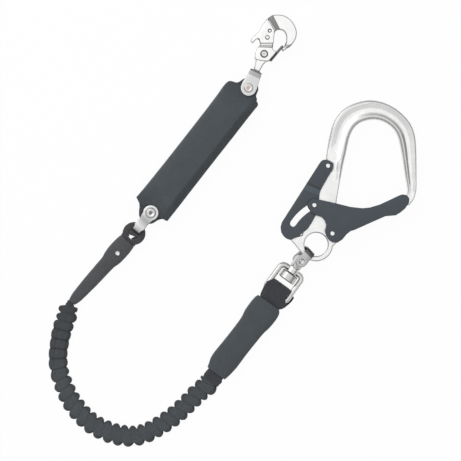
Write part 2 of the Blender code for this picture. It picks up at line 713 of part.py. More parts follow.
def make_hook():
    make_hook_body()
    make_hook_gate()
    make_safety_lever()
    reach = GATE_OUT + FIT
    stop = rivet("gate_stop_rivet", reach, GATE_STOP_R, PIVOT_HEAD_R, PIVOT_HEAD_H)
    seat_rivet(stop, "steel", gate_frame, GATE_STOP, GATE_PIVOT)
    gate_pin = rivet("gate_pivot_rivet", reach, PIVOT_SHANK_R, PIVOT_HEAD_R, PIVOT_HEAD_H)
    seat_rivet(gate_pin, "steel", hook_frame, GATE_PIVOT)
    lever_reach = LEVER_OUT + LEVER_JOGGLE + FIT
    lever_pin = rivet("lever_pivot_rivet", lever_reach, PIVOT_SHANK_R, PIVOT_HEAD_R, PIVOT_HEAD_H)
    seat_rivet(lever_pin, "steel", hook_frame, LEVER_PIVOT)
    coil_h = GATE_SPRING_TURNS * GATE_SPRING_WIRE * 2.4
    spring = torsion_spring("gate_spring", GATE_SPRING_R, GATE_SPRING_WIRE, GATE_SPRING_TURNS + 0.4, coil_h,
                            (9.0 * MM, -4.4 * MM), (18.6 * MM, 10.6 * MM), -70.0)
    finish(spring, "spring", hook_frame)
    spring.location = (*GATE_PIVOT, 0.0)
    back = coil_spring("lever_spring", LEVER_SPRING_R, LEVER_SPRING_WIRE, LEVER_SPRING_TURNS,
                       LEVER_SPRING_IN, LEVER_SPRING_OUT, LEVER_SPRING_Y)
    finish(back, "spring", hook_frame)


# Small snap hook

def crown_ramp():
    """What comes off the crown below the lever's top edge, so that it slopes down to the spine."""
    low, high = SNAP_THICK / 2 - WELD, SNAP_CROWN_THICK / 2 + WELD
    rings = []
    for x, foot, head in mm((-30.0, 78.0, 89.6), (9.5, 50.6, 57.4)):
        half = [(foot, low), (head, high), (head, high + MM), (-THROUGH, high + MM)]
        profile = half + [(y, -z) for y, z in reversed(half)]
        rings.append([(x, y, z) for y, z in profile])
    return loft("crown_ramp", rings)


def make_snap_body():
    back = mm((-4.2, 0.6), (-4.8, 5.0), (-6.6, 12.0), (-8.6, 20.0), (-9.4, 27.0), (-10.0, 36.0), (-10.9, 46.0),
              (-12.0, 56.0), (-12.6, 63.6))
    crown = mm((-14.6, 66.8), (-11.0, 72.5), (-5.0, 76.4), (3.0, 78.8), (12.1, 77.6), (20.6, 72.9), (26.9, 65.8),
               (29.0, 57.0), (27.4, 48.6), (24.0, 42.2), (22.0, 38.4))
    nose = mm((20.6, 36.9), (19.0, 37.0), (18.2, 38.2), (19.4, 43.4), (19.2, 49.0))
    throat = mm((17.2, 54.4), (14.0, 58.4), (9.8, 60.4), (5.0, 59.6), (1.6, 56.8), (1.3, 53.0), (3.0, 47.5),
                (5.4, 40.5), (6.6, 36.0))
    front = mm((7.6, 31.0), (7.6, 24.0), (6.8, 17.0), (4.8, 10.0), (4.2, 4.0), (4.2, 0.6))
    hole_r = PIVOT_SHANK_R + FIT
    holes = [circle(SNAP_GATE_PIVOT, hole_r, 16), circle(SNAP_LOCK_PIVOT, hole_r - 0.6 * MM, 12)]
    outline = back + smooth(crown, 2) + nose + smooth(throat, 2) + front
    body = flat("snap_body", outline, SNAP_THICK / 2, holes, SNAP_EDGE)
    crown = flat("snap_crown", outline, SNAP_CROWN_THICK / 2, edge=SNAP_EDGE)
    shape(crown, crown_ramp())
    shape(body, crown, "UNION")
    shank_low = -STRAP_SHEET - SNAP_NUT_H - 2 * FIT
    shape(body, rod("snap_shank", SNAP_SHANK_R, shank_low, SNAP_SHANK_TOP, "Y", steps=20), "UNION")
    spring_half = 2.2 * MM
    shape(body, gate_spring_pocket(SNAP_GATE_PIVOT, 3.6 * MM, spring_half, 20 * MM))
    bore_r = LOCK_SPRING_R + LOCK_SPRING_WIRE + FIT
    bore_end = LOCK_SPRING_IN + LOCK_SPRING_WIRE + FIT
    shape(body, rod("lock_spring_bore", bore_r, -THROUGH, bore_end, "X", (0.0, LOCK_SPRING_Y, 0.0), 12))
    return finish(body, "steel", snap_frame)


def make_snap_gate():
    outline = mm((-10.6, 28.4), (-2.0, 32.2), (6.6, 35.2), (8.6, 32.6), (11.9, 33.1), (13.8, 30.3), (12.2, 24.4),
                 (10.4, 19.4), (7.4, 16.6), (0.0, 13.8), (-7.9, 12.6), (-10.2, 17.0), (-10.9, 22.6))
    gate = flat("snap_gate", outline, SNAP_OUT, [circle(SNAP_GATE_PIVOT, PIVOT_SHANK_R + FIT, 16)])
    hollow = mm((12.1, 30.6), (13.0, 40.0), (-30.0, 40.0), (-30.0, 5.0), (8.2, 5.0), (8.2, 17.4), (9.0, 20.0),
                (10.7, 24.9))
    shape(gate, flat("snap_gate_hollow", hollow, SNAP_IN))
    bar = mm((9.0, 19.8), (12.2, 18.4), (18.8, 42.4), (16.1, 43.4))
    shape(gate, flat("snap_gate_bar", bar, SNAP_BAR / 2), "UNION")
    return finish(gate, "steel", snap_gate_frame, SNAP_GATE_PIVOT)


def make_snap_lock():
    outline = mm((-15.5, 65.4), (-13.6, 65.7), (-0.1, 56.3), (5.4, 40.7), (-10.1, 33.6), (-13.0, 37.6),
                 (-14.6, 38.4), (-16.8, 36.4), (-19.0, 30.3), (-22.8, 31.3), (-22.2, 35.6), (-19.6, 41.9),
                 (-17.6, 47.4), (-17.4, 54.1))
    hole = circle(SNAP_LOCK_PIVOT, PIVOT_SHANK_R + FIT - 0.6 * MM, 12)
    lock = flat("snap_lock_lever", outline, SNAP_OUT, [hole])
    hollow = mm((-14.1, 63.8), (-14.2, 75.0), (20.0, 75.0), (20.0, 20.0), (-13.4, 20.0), (-13.4, 37.0),
                (-15.2, 38.6), (-16.4, 41.4), (-16.1, 47.6), (-15.9, 54.1))
    shape(lock, flat("snap_lock_hollow", hollow, SNAP_IN))
    for side in (1, -1):
        low, high = sorted((side * (SNAP_OUT - 0.5 * MM), side * (SNAP_OUT + MM)))
        shape(lock, rod("snap_dimple_%d" % side, SNAP_DIMPLE_R, low, high, "Z", (*SNAP_DIMPLE, 0.0), 14))
    return finish(lock, "steel", snap_lock_frame, SNAP_LOCK_PIVOT)


def make_snap():
    make_snap_body()
    make_snap_gate()
    make_snap_lock()
    reach = SNAP_OUT + FIT
    gate_pin = rivet("snap_gate_rivet", reach, PIVOT_SHANK_R, SNAP_GATE_HEAD_R, PIVOT_HEAD_H)
    seat_rivet(gate_pin, "steel", snap_frame, SNAP_GATE_PIVOT)
    lock_pin = rivet("snap_lock_rivet", reach, PIVOT_SHANK_R - 0.6 * MM, PIVOT_HEAD_R, PIVOT_HEAD_H)
    seat_rivet(lock_pin, "steel", snap_frame, SNAP_LOCK_PIVOT)
    spring = torsion_spring("snap_gate_spring", 3.6 * MM, 0.45 * MM, 2.4, 2.4 * MM,
                            (6.4 * MM, -2.8 * MM), (10.0 * MM, 5.6 * MM), -60.0)
    finish(spring, "spring", snap_frame)
    spring.location = (*SNAP_GATE_PIVOT, 0.0)
    lock_spring = coil_spring("snap_lock_spring", LOCK_SPRING_R, LOCK_SPRING_WIRE, LOCK_SPRING_TURNS,
                              LOCK_SPRING_IN, LOCK_SPRING_OUT, LOCK_SPRING_Y)
    finish(lock_spring, "spring", snap_frame)
    nut = ring_bush("snap_swivel_nut", SNAP_SHANK_R + FIT, SNAP_NUT_R, SNAP_NUT_H / 2)
    finish(nut, "steel", snap_frame)
    nut.rotation_euler = (math.pi / 2, 0.0, 0.0)
    nut.location = (0.0, -STRAP_SHEET - FIT - SNAP_NUT_H / 2, 0.0)


# Shackles and their pins

def make_upper_shackle():
    half_top = UPPER_TOP_W / 2
    top = [(half_top, UPPER_REACH - 2 * MM), (half_top - 2 * MM, UPPER_REACH + 5 * MM)]
    sides = [(half_top + 0.6 * MM, UPPER_REACH * 0.6), (UPPER_END_R, 4 * MM)]
    end = arc((0, 0), UPPER_END_R, 0, -180, 12)
    right = top[::-1] + sides
    plan = right + end + [(-x, y) for x, y in reversed(right)]
    shackle = strap("upper_shackle", plan, UPPER_GAP, UPPER_REACH, UPPER_BEND, -UPPER_END_R * 2)
    pin_hole = rod("upper_pin_hole", SHACKLE_PIN_R + FIT, -THROUGH, THROUGH)
    shape(shackle, pin_hole)
    shape(shackle, rod("shank_hole", SNAP_SHANK_R + FIT, 15 * MM, 40 * MM, "Y", steps=20))
    return finish(shackle, "steel", upper_frame)


def make_lower_shackle():
    bow_half = LOWER_BOW_W / 2
    bow_in = math.sqrt((RING_HOLE_R - FIT) ** 2 - bow_half ** 2)
    reach = -(LOWER_REACH - bow_in) - STRAP_SHEET
    bow_room = -(LOWER_REACH - RING_HOLE_R) + 1.0 * MM
    right = [
        (bow_half - 0.4 * MM, reach - 4 * MM), (bow_half, reach + 1 * MM), (bow_half, bow_room),
        (LOWER_NECK_W / 2 + 0.9 * MM, bow_room + 3.0 * MM), (LOWER_NECK_W / 2, -15.0 * MM),
        (LOWER_NECK_W / 2 + 1.2 * MM, -10.0 * MM),
    ]
    end = arc((0, 0), LOWER_END_R, -35, 215, 16)
    plan = right + end + [(-x, y) for x, y in reversed(right)]
    shackle = strap("lower_shackle", plan, LOWER_GAP, reach, LOWER_BEND, LOWER_END_R * 2)
    shape(shackle, rod("lower_pin_hole", SHACKLE_PIN_R + FIT, -THROUGH, THROUGH))
    return finish(shackle, "steel", lower_frame)


def make_shackles():
    make_upper_shackle()
    make_lower_shackle()
    for side, gap, carrier in (("upper", UPPER_GAP, upper_frame), ("lower", LOWER_GAP, lower_frame)):
        reach = gap / 2 + STRAP_SHEET + FIT
        pin = rivet(side + "_pin", reach, SHACKLE_PIN_R, SHACKLE_HEAD_R, SHACKLE_HEAD_H, dish=0.7 * MM)
        finish(pin, "steel", carrier)
        inner = SHACKLE_PIN_R + FIT
        bush = ring_bush(side + "_bush", inner, inner + BUSH_WALL, gap / 2 - FIT)
        finish(bush, "steel", carrier)


# Shock absorber pack

COVER_STATIONS = mm(
    # y, left edge, right edge, half thickness, middle height
    (-100.4, -20.3, 14.4, 5.8, 0.0),
    (-99.0, -22.6, 15.6, 5.8, 0.0),
    (-97.9, -25.0, 17.4, 5.8, 0.0),
    (-96.8, -27.2, 22.2, 5.8, 0.0),
    (-94.0, -27.0, 22.9, 5.8, 0.0),
    (-86.0, -26.7, 23.0, 6.6, 0.0),
    (-78.0, -26.5, 23.0, 8.6, 0.0),
    (-68.0, -26.4, 23.0, 9.7, 0.0),
    (-40.0, -26.1, 22.9, 10.0, 0.0),
    (0.0, -26.0, 22.8, 10.0, 0.0),
    (40.0, -26.1, 22.9, 10.0, 0.0),
    (68.0, -26.5, 22.8, 9.7, 0.0),
    (78.0, -27.0, 22.8, 8.4, 0.0),
    (86.0, -27.0, 22.9, 6.4, 0.0),
    (90.6, -26.4, 22.9, 5.8, 0.0),
    (93.0, -25.4, 21.8, 5.8, 0.0),
    (94.6, -23.6, 18.6, 5.8, 0.0),
    (96.0, -20.2, 16.6, 5.8, 0.0),
    (97.5, -16.1, 14.8, 5.8, 0.0),
)


def cover_power(y):
    """The cover is pillow-shaped along its middle and flat like an envelope at its ends."""
    return 3.2 + 4.8 * max(0.0, min(1.0, (abs(y) - 68 * MM) / (22 * MM)))


def make_cover():
    scale = PACK_THICK / (20.0 * MM)
    stations = [(y, left, right, half * scale, z) for y, left, right, half, z in COVER_STATIONS]
    cover = lofted_pad("absorber_cover", stations, power=cover_power)
    shape(cover, lofted_pad("cover_cavity", stations, COVER_WALL, 3 * MM, power=cover_power))
    notch_r = SHACKLE_PIN_R + FIT + BUSH_WALL + 2 * FIT
    for sign in (1, -1):
        pin_at = (0.0, sign * PIN_SPREAD / 2, 0.0)
        shape(cover, rod("cover_notch_%d" % sign, notch_r, -THROUGH, THROUGH, "Z", pin_at, 20))
    return finish(cover, "cover", pack_frame)


def make_pack_loop(side, sign):
    """A webbing loop round a pin's bush, with its sewn tail inside the cover."""
    pin_y = sign * PIN_SPREAD / 2
    centre = (PACK_LOOP_SHIFT, pin_y)
    tail = PIN_SPREAD / 2 - TEAR_LENGTH / 2 - 1.0 * MM
    ring = arc(centre, PACK_LOOP_R, 200, -20, 18)
    legs = [(9.5 * MM, pin_y - sign * 14 * MM), (7.5 * MM, pin_y - sign * tail)]
    if sign < 0:
        ring = arc(centre, PACK_LOOP_R, 160, 380, 18)
    outline = ring + legs + [(-x, y) for x, y in reversed(legs)]
    bush_r = SHACKLE_PIN_R + FIT + BUSH_WALL
    hole = circle((0.0, pin_y), bush_r + FIT)
    loop = flat(side + "_pack_loop", outline, PACK_LOOP_THICK / 2, [hole], 1.0 * MM)
    return finish(loop, "webbing", pack_frame)


def make_pack():
    make_cover()
    half = TEAR_LENGTH / 2
    stations = [(-half, -18 * MM, 15 * MM, 5.6 * MM, 0.0), (-half * 0.94, -21 * MM, 18 * MM, 7.4 * MM, 0.0),
                (half * 0.94, -21 * MM, 18 * MM, 7.4 * MM, 0.0), (half, -18 * MM, 15 * MM, 5.6 * MM, 0.0)]
    finish(lofted_pad("tear_webbing", stations, power=4.0), "webbing", pack_frame)
    make_pack_loop("upper", 1)
    make_pack_loop("lower", -1)


# Webbing eye and guard

GUARD_STATIONS = mm(
    # distance from the ring, half width, half thickness, height of the middle above the floor
    (12.5, 11.0, 7.3, 9.8),
    (24.0, 12.5, 7.0, 8.7),
    (36.0, 12.4, 6.4, 7.5),
    (44.0, 11.4, 5.9, 6.3),
    (50.0, 10.0, 5.7, 5.6),
    (64.0, 9.5, 5.3, 4.9),
    (82.0, 9.0, 5.0, 4.6),
    (100.0, 8.0, 4.7, 4.3),
    (110.0, 7.2, 4.5, 4.1),
    (116.5, 5.8, 4.3, 3.9),
    (119.5, 4.6, 4.1, 3.7),
)
GUARD_RIVET_Z = 8.0 * MM
RING_DROP = 0.4 * MM
RING_FLAT = 42.0
RING_LEGS = mm((7.4, -12.1), (6.6, -14.2))


def make_eye_and_guard():
    scale = GUARD_END / (119.5 * MM)
    stations = [(-y * scale, -w, w, t, z - PACK_Z) for y, w, t, z in GUARD_STATIONS]
    guard = lofted_pad("guard_sleeve", stations, power=2.8, floor=-PACK_Z)
    shape(guard, lofted_pad("guard_cavity", stations, GUARD_WALL, 3 * MM, power=2.8, floor=-PACK_Z))
    rivet_hole = rod("guard_rivet_hole", GUARD_RIVET_R + FIT, -THROUGH, THROUGH, "Z", (*GUARD_RIVET_AT, 0.0), 16)
    shape(guard, rivet_hole)
    finish(guard, "cover", ring_frame)

    legs = [(-x, y) for x, y in RING_LEGS] + list(reversed(RING_LEGS))
    outline = arc((0, 0), RING_R, RING_FLAT - 90, 270 - RING_FLAT, 20) + legs
    eye = flat("webbing_eye", outline, RING_THICK / 2, [circle((0, 0), RING_HOLE_R)], 1.4 * MM)
    tail = [(-y * MM, -half * MM, half * MM, thick * MM, z * MM - PACK_Z + RING_DROP) for y, half, thick, z in (
        (11, 6.6, 4.6, 10.1), (24, 8.6, 4.4, 8.7), (36, 8.6, 4.0, 7.4), (56, 6.6, 3.0, 5.3))]
    shape(eye, lofted_pad("eye_tail", tail), "UNION")
    eye_rivet_hole = rod("eye_rivet_hole", GUARD_RIVET_R + FIT, -THROUGH, THROUGH, "Z",
                         (*GUARD_RIVET_AT, RING_DROP), 16)
    shape(eye, eye_rivet_hole)
    finish(eye, "webbing", ring_frame)
    eye.location.z = -RING_DROP

    pin = rivet("guard_rivet", 6.8 * MM + FIT, GUARD_RIVET_R, GUARD_RIVET_HEAD_R, 0.8 * MM, dish=0.3 * MM)
    finish(pin, "steel", ring_frame)
    pin.location = (*GUARD_RIVET_AT, GUARD_RIVET_Z - PACK_Z)


# Gathered webbing, from the guard round to the collar

END_GAP = 1.0 * MM
ROUTE = mm(
    (-222.6, -142.7), (-225.8, -154.2), (-230.2, -167.0), (-233.7, -179.8), (-235.8, -192.6), (-236.9, -205.4),
    (-236.2, -218.5), (-233.3, -231.5), (-228.5, -244.3), (-223.0, -256.4), (-216.8, -266.8), (-208.7, -277.0),
    (-199.4, -286.4), (-188.9, -294.0), (-177.4, -300.0), (-165.8, -304.0), (-155.3, -306.4), (-144.1, -307.4),
    (-132.9, -306.2), (-122.3, -302.8), (-112.1, -297.4), (-101.7, -291.2), (-91.4, -284.1), (-81.8, -276.3),
    (-72.7, -267.6), (-64.0, -259.0), (-55.6, -250.6),
)
# How full the webbing is, at even distances from the guard to the collar
FULLNESS = (1.0, 0.99, 0.92, 0.90, 0.92, 0.97, 1.02, 1.02, 1.05, 1.04, 0.99, 0.98, 0.97, 0.97, 1.0, 1.02)


def webbing_route():
    """The webbing's middle line on the floor, joined to the guard's end and the collar's end."""
    start = ring_frame.matrix_world @ Vector((0.4 * MM, -GUARD_END - 2 * FIT, 0.0))
    end = sleeve_frame.matrix_world @ Vector((-0.8 * MM, -COLLAR_END - END_GAP, 0.0))
    lead_out, lead_in = 3.0 * MM, 7.0 * MM
    after = ring_frame.matrix_world @ Vector((0.4 * MM, -GUARD_END - 2 * FIT - lead_out, 0.0))
    before = sleeve_frame.matrix_world @ Vector((-0.8 * MM, -COLLAR_END - END_GAP - lead_in, 0.0))
    ends = [point - Vector((*ORIGIN, 0.0)) for point in (start, after, before, end)]
    first, second, third, last = [(point.x, point.y) for point in ends]
    return [first, second, *ROUTE, third, last]


def even_points(route, count):
    """Points at even distances along a smooth route, each with its heading."""
    fine = [Vector(point) for point in smooth(route, 12)]
    run = [0.0]
    for a, b in zip(fine, fine[1:]):
        run.append(run[-1] + (b - a).length)
    out, k = [], 0
    for i in range(count):
        want = run[-1] * i / (count - 1)
        while k < len(fine) - 2 and run[k + 1] < want:
            k += 1
        share = (want - run[k]) / (run[k + 1] - run[k])
        out.append((fine[k].lerp(fine[k + 1], share), (fine[k + 1] - fine[k]).normalized()))
    return out, run[-1]


def fullness_at(share):
    place = share * (len(FULLNESS) - 1)
    k = min(int(place), len(FULLNESS) - 2)
    return FULLNESS[k] + (FULLNESS[k + 1] - FULLNESS[k]) * (place - k)


def make_gathered_webbing():
    """Ribs whose lobes stand half a pitch apart on the two sides, so that the grooves run slanting across."""
    per_rib = 4
    rough = webbing_route()
    length = even_points(rough, 2)[1]
    count = round(length / RIB_PITCH * per_rib) + 1
    points = even_points(rough, count)[0]
    print("gathered webbing: %.1f mm along its middle" % (length / MM))
    rings = []
    for i, (at, heading) in enumerate(points):
        distance = length * i / (count - 1)
        across = Vector((heading.y, -heading.x))
        ring = []
        for x, up in pillow(-1.0, 1.0, 1.0, 14, 2.4):
            swell = abs(math.sin(math.pi * (i / per_rib + RIB_STAGGER * (1 + x)))) ** 0.7
            start = max(0.0, distance - 4 * MM * (x > 0))
            taper = min(1.0, 0.40 + start / (9 * MM))
            half_w = WEBBING_W / 2 * fullness_at(i / (count - 1)) * taper
            half_w *= 1 - (1 - RIB_VALLEY) * (1 - swell) * abs(x)
            half_t = WEBBING_THICK / 2 * (0.88 + 0.12 * taper)
            spot = at + across * (x * half_w)
            top = half_t * (1 - 0.28 * (1 - swell)) * up
            ring.append((spot.x, spot.y, max(half_t + top - REST_CUT, 0.0)))
        rings.append(ring)
    webbing = loft("gathered_webbing", rings)
    tidy_mesh(webbing.data)
    return finish(webbing, "webbing", root)


# Collar, sleeve and the loop round the swivel frame

SLEEVE_STATIONS = mm(
    # distance from the top, left edge, right edge, half thickness, middle height
    (0.0, -16.6, 16.8, 6.8, 8.4),
    (4.0, -18.2, 19.6, 7.3, 8.1),
    (12.0, -19.0, 20.8, 7.5, 7.7),
    (25.0, -18.9, 20.2, 7.3, 7.3),
    (36.0, -17.1, 18.2, 7.1, 7.1),
    (50.0, -17.0, 17.3, 6.9, 6.9),
    (70.0, -17.7, 16.4, 6.7, 6.7),
    (90.0, -18.8, 16.2, 6.7, 6.7),
    (100.0, -18.5, 15.3, 6.6, 6.6),
    (107.0, -16.4, 14.2, 6.4, 6.4),
    (113.0, -14.8, 12.8, 6.0, 6.0),
)


def make_sleeve():
    scale = SLEEVE_LENGTH / (113.0 * MM)
    stations = [(-y * scale, left, right, t, z) for y, left, right, t, z in SLEEVE_STATIONS]
    sleeve = lofted_pad("label_sleeve", stations, power=2.8)
    shape(sleeve, lofted_pad("sleeve_cavity", stations, SLEEVE_WALL, 3 * MM, power=2.8))
    finish(sleeve, "cover", sleeve_frame)
    inside, mouth = SLEEVE_LENGTH - 17 * MM, SLEEVE_LENGTH + 1.5 * MM
    collar = [(-inside, -11.6 * MM, 9.6 * MM, 3.6 * MM, 6.0 * MM), (-mouth, -12.0 * MM, 10.0 * MM, 3.8 * MM, 5.6 * MM),
              (-mouth - 4 * MM, -12.6 * MM, 11.0 * MM, 4.6 * MM, 4.7 * MM),
              (-COLLAR_END, -11.6 * MM, 10.2 * MM, 4.2 * MM, 4.2 * MM)]
    finish(lofted_pad("webbing_collar", collar), "webbing", sleeve_frame)


def make_hook_loop():
    """The band round the frame's bottom bar, open at its sides, and its tail twisted flat into the sleeve."""
    half_w = LOOP_W / 2
    cavity = FRAME_WIRE_R + 2 * RUN
    outer = cavity + LOOP_LAYER
    low = FRAME_BOTTOM - 10.4 * MM
    outline = [(-half_w, low), (-half_w, LOOP_TOP - 4 * MM), (-half_w + 2 * MM, LOOP_TOP), (half_w - 2 * MM, LOOP_TOP),
               (half_w, LOOP_TOP - 3 * MM), (half_w, low)]
    band = flat("hook_loop", outline, outer, edge=0.8 * MM)
    floor_y = FRAME_BOTTOM - FRAME_WIRE_R - 2 * RUN
    room = [(-40 * MM, floor_y), (40 * MM, floor_y), (40 * MM, LOOP_TOP - LOOP_LAYER), (-40 * MM, LOOP_TOP - LOOP_LAYER)]
    shape(band, flat("loop_room", room, cavity))
    finish(band, "webbing", swivel_frame)
    bpy.context.view_layer.update()
    back = band.matrix_world.inverted()

    def section(carrier, y, z, roll, half, thick):
        turn = carrier.matrix_world @ Matrix.Translation((0, y, z)) @ Matrix.Rotation(math.radians(roll), 4, "Y")
        return [back @ turn @ Vector((x, 0, up)) for x, up in pillow(-half, half, thick)]

    rings = [
        section(swivel_frame, low + 2.2 * MM, 0.0, 0.0, half_w - 0.9 * MM, outer - 0.7 * MM),
        section(sleeve_frame, 2.6 * MM, 8.8 * MM, SWIVEL_ROLL * 0.4, 12.2 * MM, 4.3 * MM),
        section(sleeve_frame, -3.0 * MM, 8.2 * MM, 1.0, 12.0 * MM, 4.0 * MM),
        section(sleeve_frame, -14.0 * MM, 7.7 * MM, 0.0, 12.4 * MM, 4.4 * MM),
        section(sleeve_frame, -60.0 * MM, 6.9 * MM, 0.0, 11.6 * MM, 3.8 * MM),
    ]
    return shape(band, loft("loop_tail", rings), "UNION")


# Swivel frame, stud, nut and link

def make_swivel_frame():
    w, top, low, r = FRAME_HALF_W, FRAME_TOP, FRAME_BOTTOM, FRAME_CORNER_R
    path = []
    for cx, cy, start in ((w - r, top - r, 90), (w - r, low + r, 0), (r - w, low + r, -90), (r - w, top - r, 180)):
        path += arc((cx, cy), r, start, start - 90, 5)
    wire = tube("swivel_frame", [(x, y, 0.0) for x, y in path], FRAME_WIRE_R, cyclic=True, resolution=3)
    boss_low, boss_high = FRAME_TOP - FRAME_WIRE_R - 0.6 * MM, FRAME_TOP + FRAME_WIRE_R + 0.6 * MM
    shape(wire, rod("frame_boss", BOSS_R, boss_low, boss_high, "Y", steps=20), "UNION")
    shape(wire, rod("stud_hole", STUD_R + FIT, 0.0, 40 * MM, "Y", steps=20))
    return finish(wire, "steel", bar_frame, (0.0, FRAME_BOTTOM), crease=60.0)


def make_stud():
    """The stud's flat eye takes the link's rivet; its shank turns in the frame and holds the barrel nut."""
    half = LINK_GAP / 2 - 2 * RUN
    bush_r = LINK_PIN_R + FIT + BUSH_WALL
    collar_low = FRAME_TOP + FRAME_WIRE_R + 0.6 * MM + FIT
    tongue_w = 5.4 * MM
    eye = arc((0.0, 0.0), LINK_END_R - 0.6 * MM, -20, 200, 14)
    outline = eye + [(-tongue_w, collar_low - LINK_AT + 0.4 * MM), (tongue_w, collar_low - LINK_AT + 0.4 * MM)]
    stud = flat("swivel_stud", outline, half, [circle((0, 0), bush_r + FIT, 20)], 0.6 * MM)
    shank_low = FRAME_TOP - FRAME_WIRE_R - 0.6 * MM - FIT - BARREL_H + 2 * MM
    collar = rod("stud_collar", BOSS_R - 0.4 * MM, collar_low - LINK_AT, collar_low - LINK_AT + 2.4 * MM, "Y", steps=20)
    shape(stud, collar, "UNION")
    shank = rod("stud_shank", STUD_R, shank_low - LINK_AT, collar_low - LINK_AT + 1.2 * MM, "Y", steps=20)
    shape(stud, shank, "UNION")
    finish(stud, "steel", stud_frame)

    top = FRAME_TOP - FRAME_WIRE_R - 0.6 * MM - FIT
    edge = 1.2 * MM
    inner = STUD_R + FIT
    profile = [(inner, BARREL_H), (BARREL_R - edge, BARREL_H), (BARREL_R, BARREL_H - edge), (BARREL_R, edge),
               (BARREL_R - edge, 0.0), (inner, 0.0), (inner, BARREL_H)]
    nut = turned("swivel_nut", profile, 28)
    finish(nut, "steel", stud_frame)
    nut.rotation_euler = (-math.pi / 2, 0.0, 0.0)
    nut.location = (0.0, top - BARREL_H - LINK_AT, 0.0)


def make_link():
    """The strap from the stud's rivet round the rim of the hook's eye."""
    half_bow = LINK_BOW_W / 2
    corner_r = EYE_R - 2 * RUN
    bow_in = math.sqrt(corner_r ** 2 - half_bow ** 2)
    reach = LINK_LENGTH - bow_in + STRAP_SHEET
    right = [(half_bow - 0.6 * MM, reach + 4 * MM), (half_bow, reach - 1 * MM), (half_bow + 0.2 * MM, 8.0 * MM),
             (LINK_END_R - 0.2 * MM, 3.0 * MM)]
    end = arc((0, 0), LINK_END_R, 0, -180, 12)
    plan = right + end + [(-x, y) for x, y in reversed(right)]
    link = strap("link_strap", plan, LINK_GAP, reach, LINK_BEND, -LINK_END_R * 2)
    shape(link, rod("link_pin_hole", LINK_PIN_R + FIT, -THROUGH, THROUGH, steps=16))
    finish(link, "steel", link_frame)
    pin = rivet("link_rivet", LINK_GAP / 2 + STRAP_SHEET + FIT, LINK_PIN_R, LINK_HEAD_R, LINK_HEAD_H, dish=0.4 * MM)
    finish(pin, "steel", link_frame)
    inner = LINK_PIN_R + FIT
    finish(ring_bush("link_bush", inner, inner + BUSH_WALL, LINK_GAP / 2 - FIT), "steel", link_frame)


make_hook()
make_snap()
make_shackles()
make_pack()
make_eye_and_guard()
make_gathered_webbing()
make_sleeve()
make_hook_loop()
make_swivel_frame()
make_stud()
make_link()
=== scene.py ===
"""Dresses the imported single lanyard: soft pieces, finer hardware, materials, light and camera.

Outlines are in millimetres, in the frame of their own group, where +Y runs along the group and +Z is up.
"""

import json
from math import atan2, copysign, cos, degrees, exp, hypot, pi, radians, sin, sqrt

import bmesh
import bpy
from mathutils import Matrix, Vector, noise
from mathutils.bvhtree import BVHTree


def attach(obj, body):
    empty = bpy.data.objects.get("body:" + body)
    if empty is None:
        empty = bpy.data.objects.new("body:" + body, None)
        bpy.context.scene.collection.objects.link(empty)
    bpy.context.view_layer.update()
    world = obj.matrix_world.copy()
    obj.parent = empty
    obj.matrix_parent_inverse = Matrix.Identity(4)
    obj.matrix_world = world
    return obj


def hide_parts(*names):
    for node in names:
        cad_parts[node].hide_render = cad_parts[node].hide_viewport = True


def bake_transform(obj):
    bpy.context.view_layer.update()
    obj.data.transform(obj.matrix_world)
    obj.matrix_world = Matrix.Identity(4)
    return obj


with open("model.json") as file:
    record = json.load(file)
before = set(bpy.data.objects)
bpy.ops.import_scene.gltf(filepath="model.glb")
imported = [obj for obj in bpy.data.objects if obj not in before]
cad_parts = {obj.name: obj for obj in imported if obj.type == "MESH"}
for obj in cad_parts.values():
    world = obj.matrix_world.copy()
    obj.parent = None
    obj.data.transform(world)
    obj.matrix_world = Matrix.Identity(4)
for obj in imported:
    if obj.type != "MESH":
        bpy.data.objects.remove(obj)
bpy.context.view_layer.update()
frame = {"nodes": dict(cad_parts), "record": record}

MM = 0.001
BODY_OF = {node: body for body, nodes in frame["record"]["behaviour"]["bodies"].items() for node in nodes}


# Frames of the groups: places and heights in millimetres, turns in degrees

PACK_Z = 10.5
HOOK_Z = 10
SWIVEL_Z = 11.2
PACK_TURN, UPPER_TURN, LOWER_TURN, GUARD_TURN = -38.07, -24.4, -39.7, -42.17
SLEEVE_TURN, SWIVEL_TURN, HOOK_TURN = -36.06, -36, -20.2
SWIVEL_ROLL = 16
PIN_SPREAD = 202.4
UPPER_REACH, LOWER_REACH, STUD_REACH = 24.5, 34.1, 34.2


def moved(x=0, y=0, z=0):
    return Matrix.Translation((x * MM, y * MM, z * MM))


def stand(at, turn=0, roll=0, parent=None):
    """The matrix of a group: its place, its turn about Z and its roll about Y."""
    turned = Matrix.Rotation(radians(turn), 4, "Z") @ Matrix.Rotation(radians(roll), 4, "Y")
    here = moved(*at) @ turned
    return here if parent is None else parent @ here


ROOT = stand((0.02, 4.97, 0))
PACK = stand((-54.8, 58.6, PACK_Z), PACK_TURN, parent=ROOT)
UPPER = stand((0, PIN_SPREAD / 2, 0), UPPER_TURN - PACK_TURN, parent=PACK)
LOWER = stand((0, -PIN_SPREAD / 2, 0), LOWER_TURN - PACK_TURN, parent=PACK)
RING = stand((0, -LOWER_REACH, 0), GUARD_TURN - LOWER_TURN, parent=LOWER)
SNAP = stand((0, UPPER_REACH, 0), parent=UPPER)
SLEEVE = stand((33.4, -135.7, 0), SLEEVE_TURN, parent=ROOT)
SWIVEL = stand((53.2, -109.4, SWIVEL_Z), SWIVEL_TURN, SWIVEL_ROLL, parent=ROOT)
STUD = stand((0, STUD_REACH, 0), parent=SWIVEL)
HOOK = stand((94, -61.4, HOOK_Z), HOOK_TURN, parent=ROOT)
AWAY = HOOK.translation - STUD.translation
LINK = stand((0, 0, 0), degrees(atan2(-AWAY.x, AWAY.y)) - SWIVEL_TURN, parent=STUD)


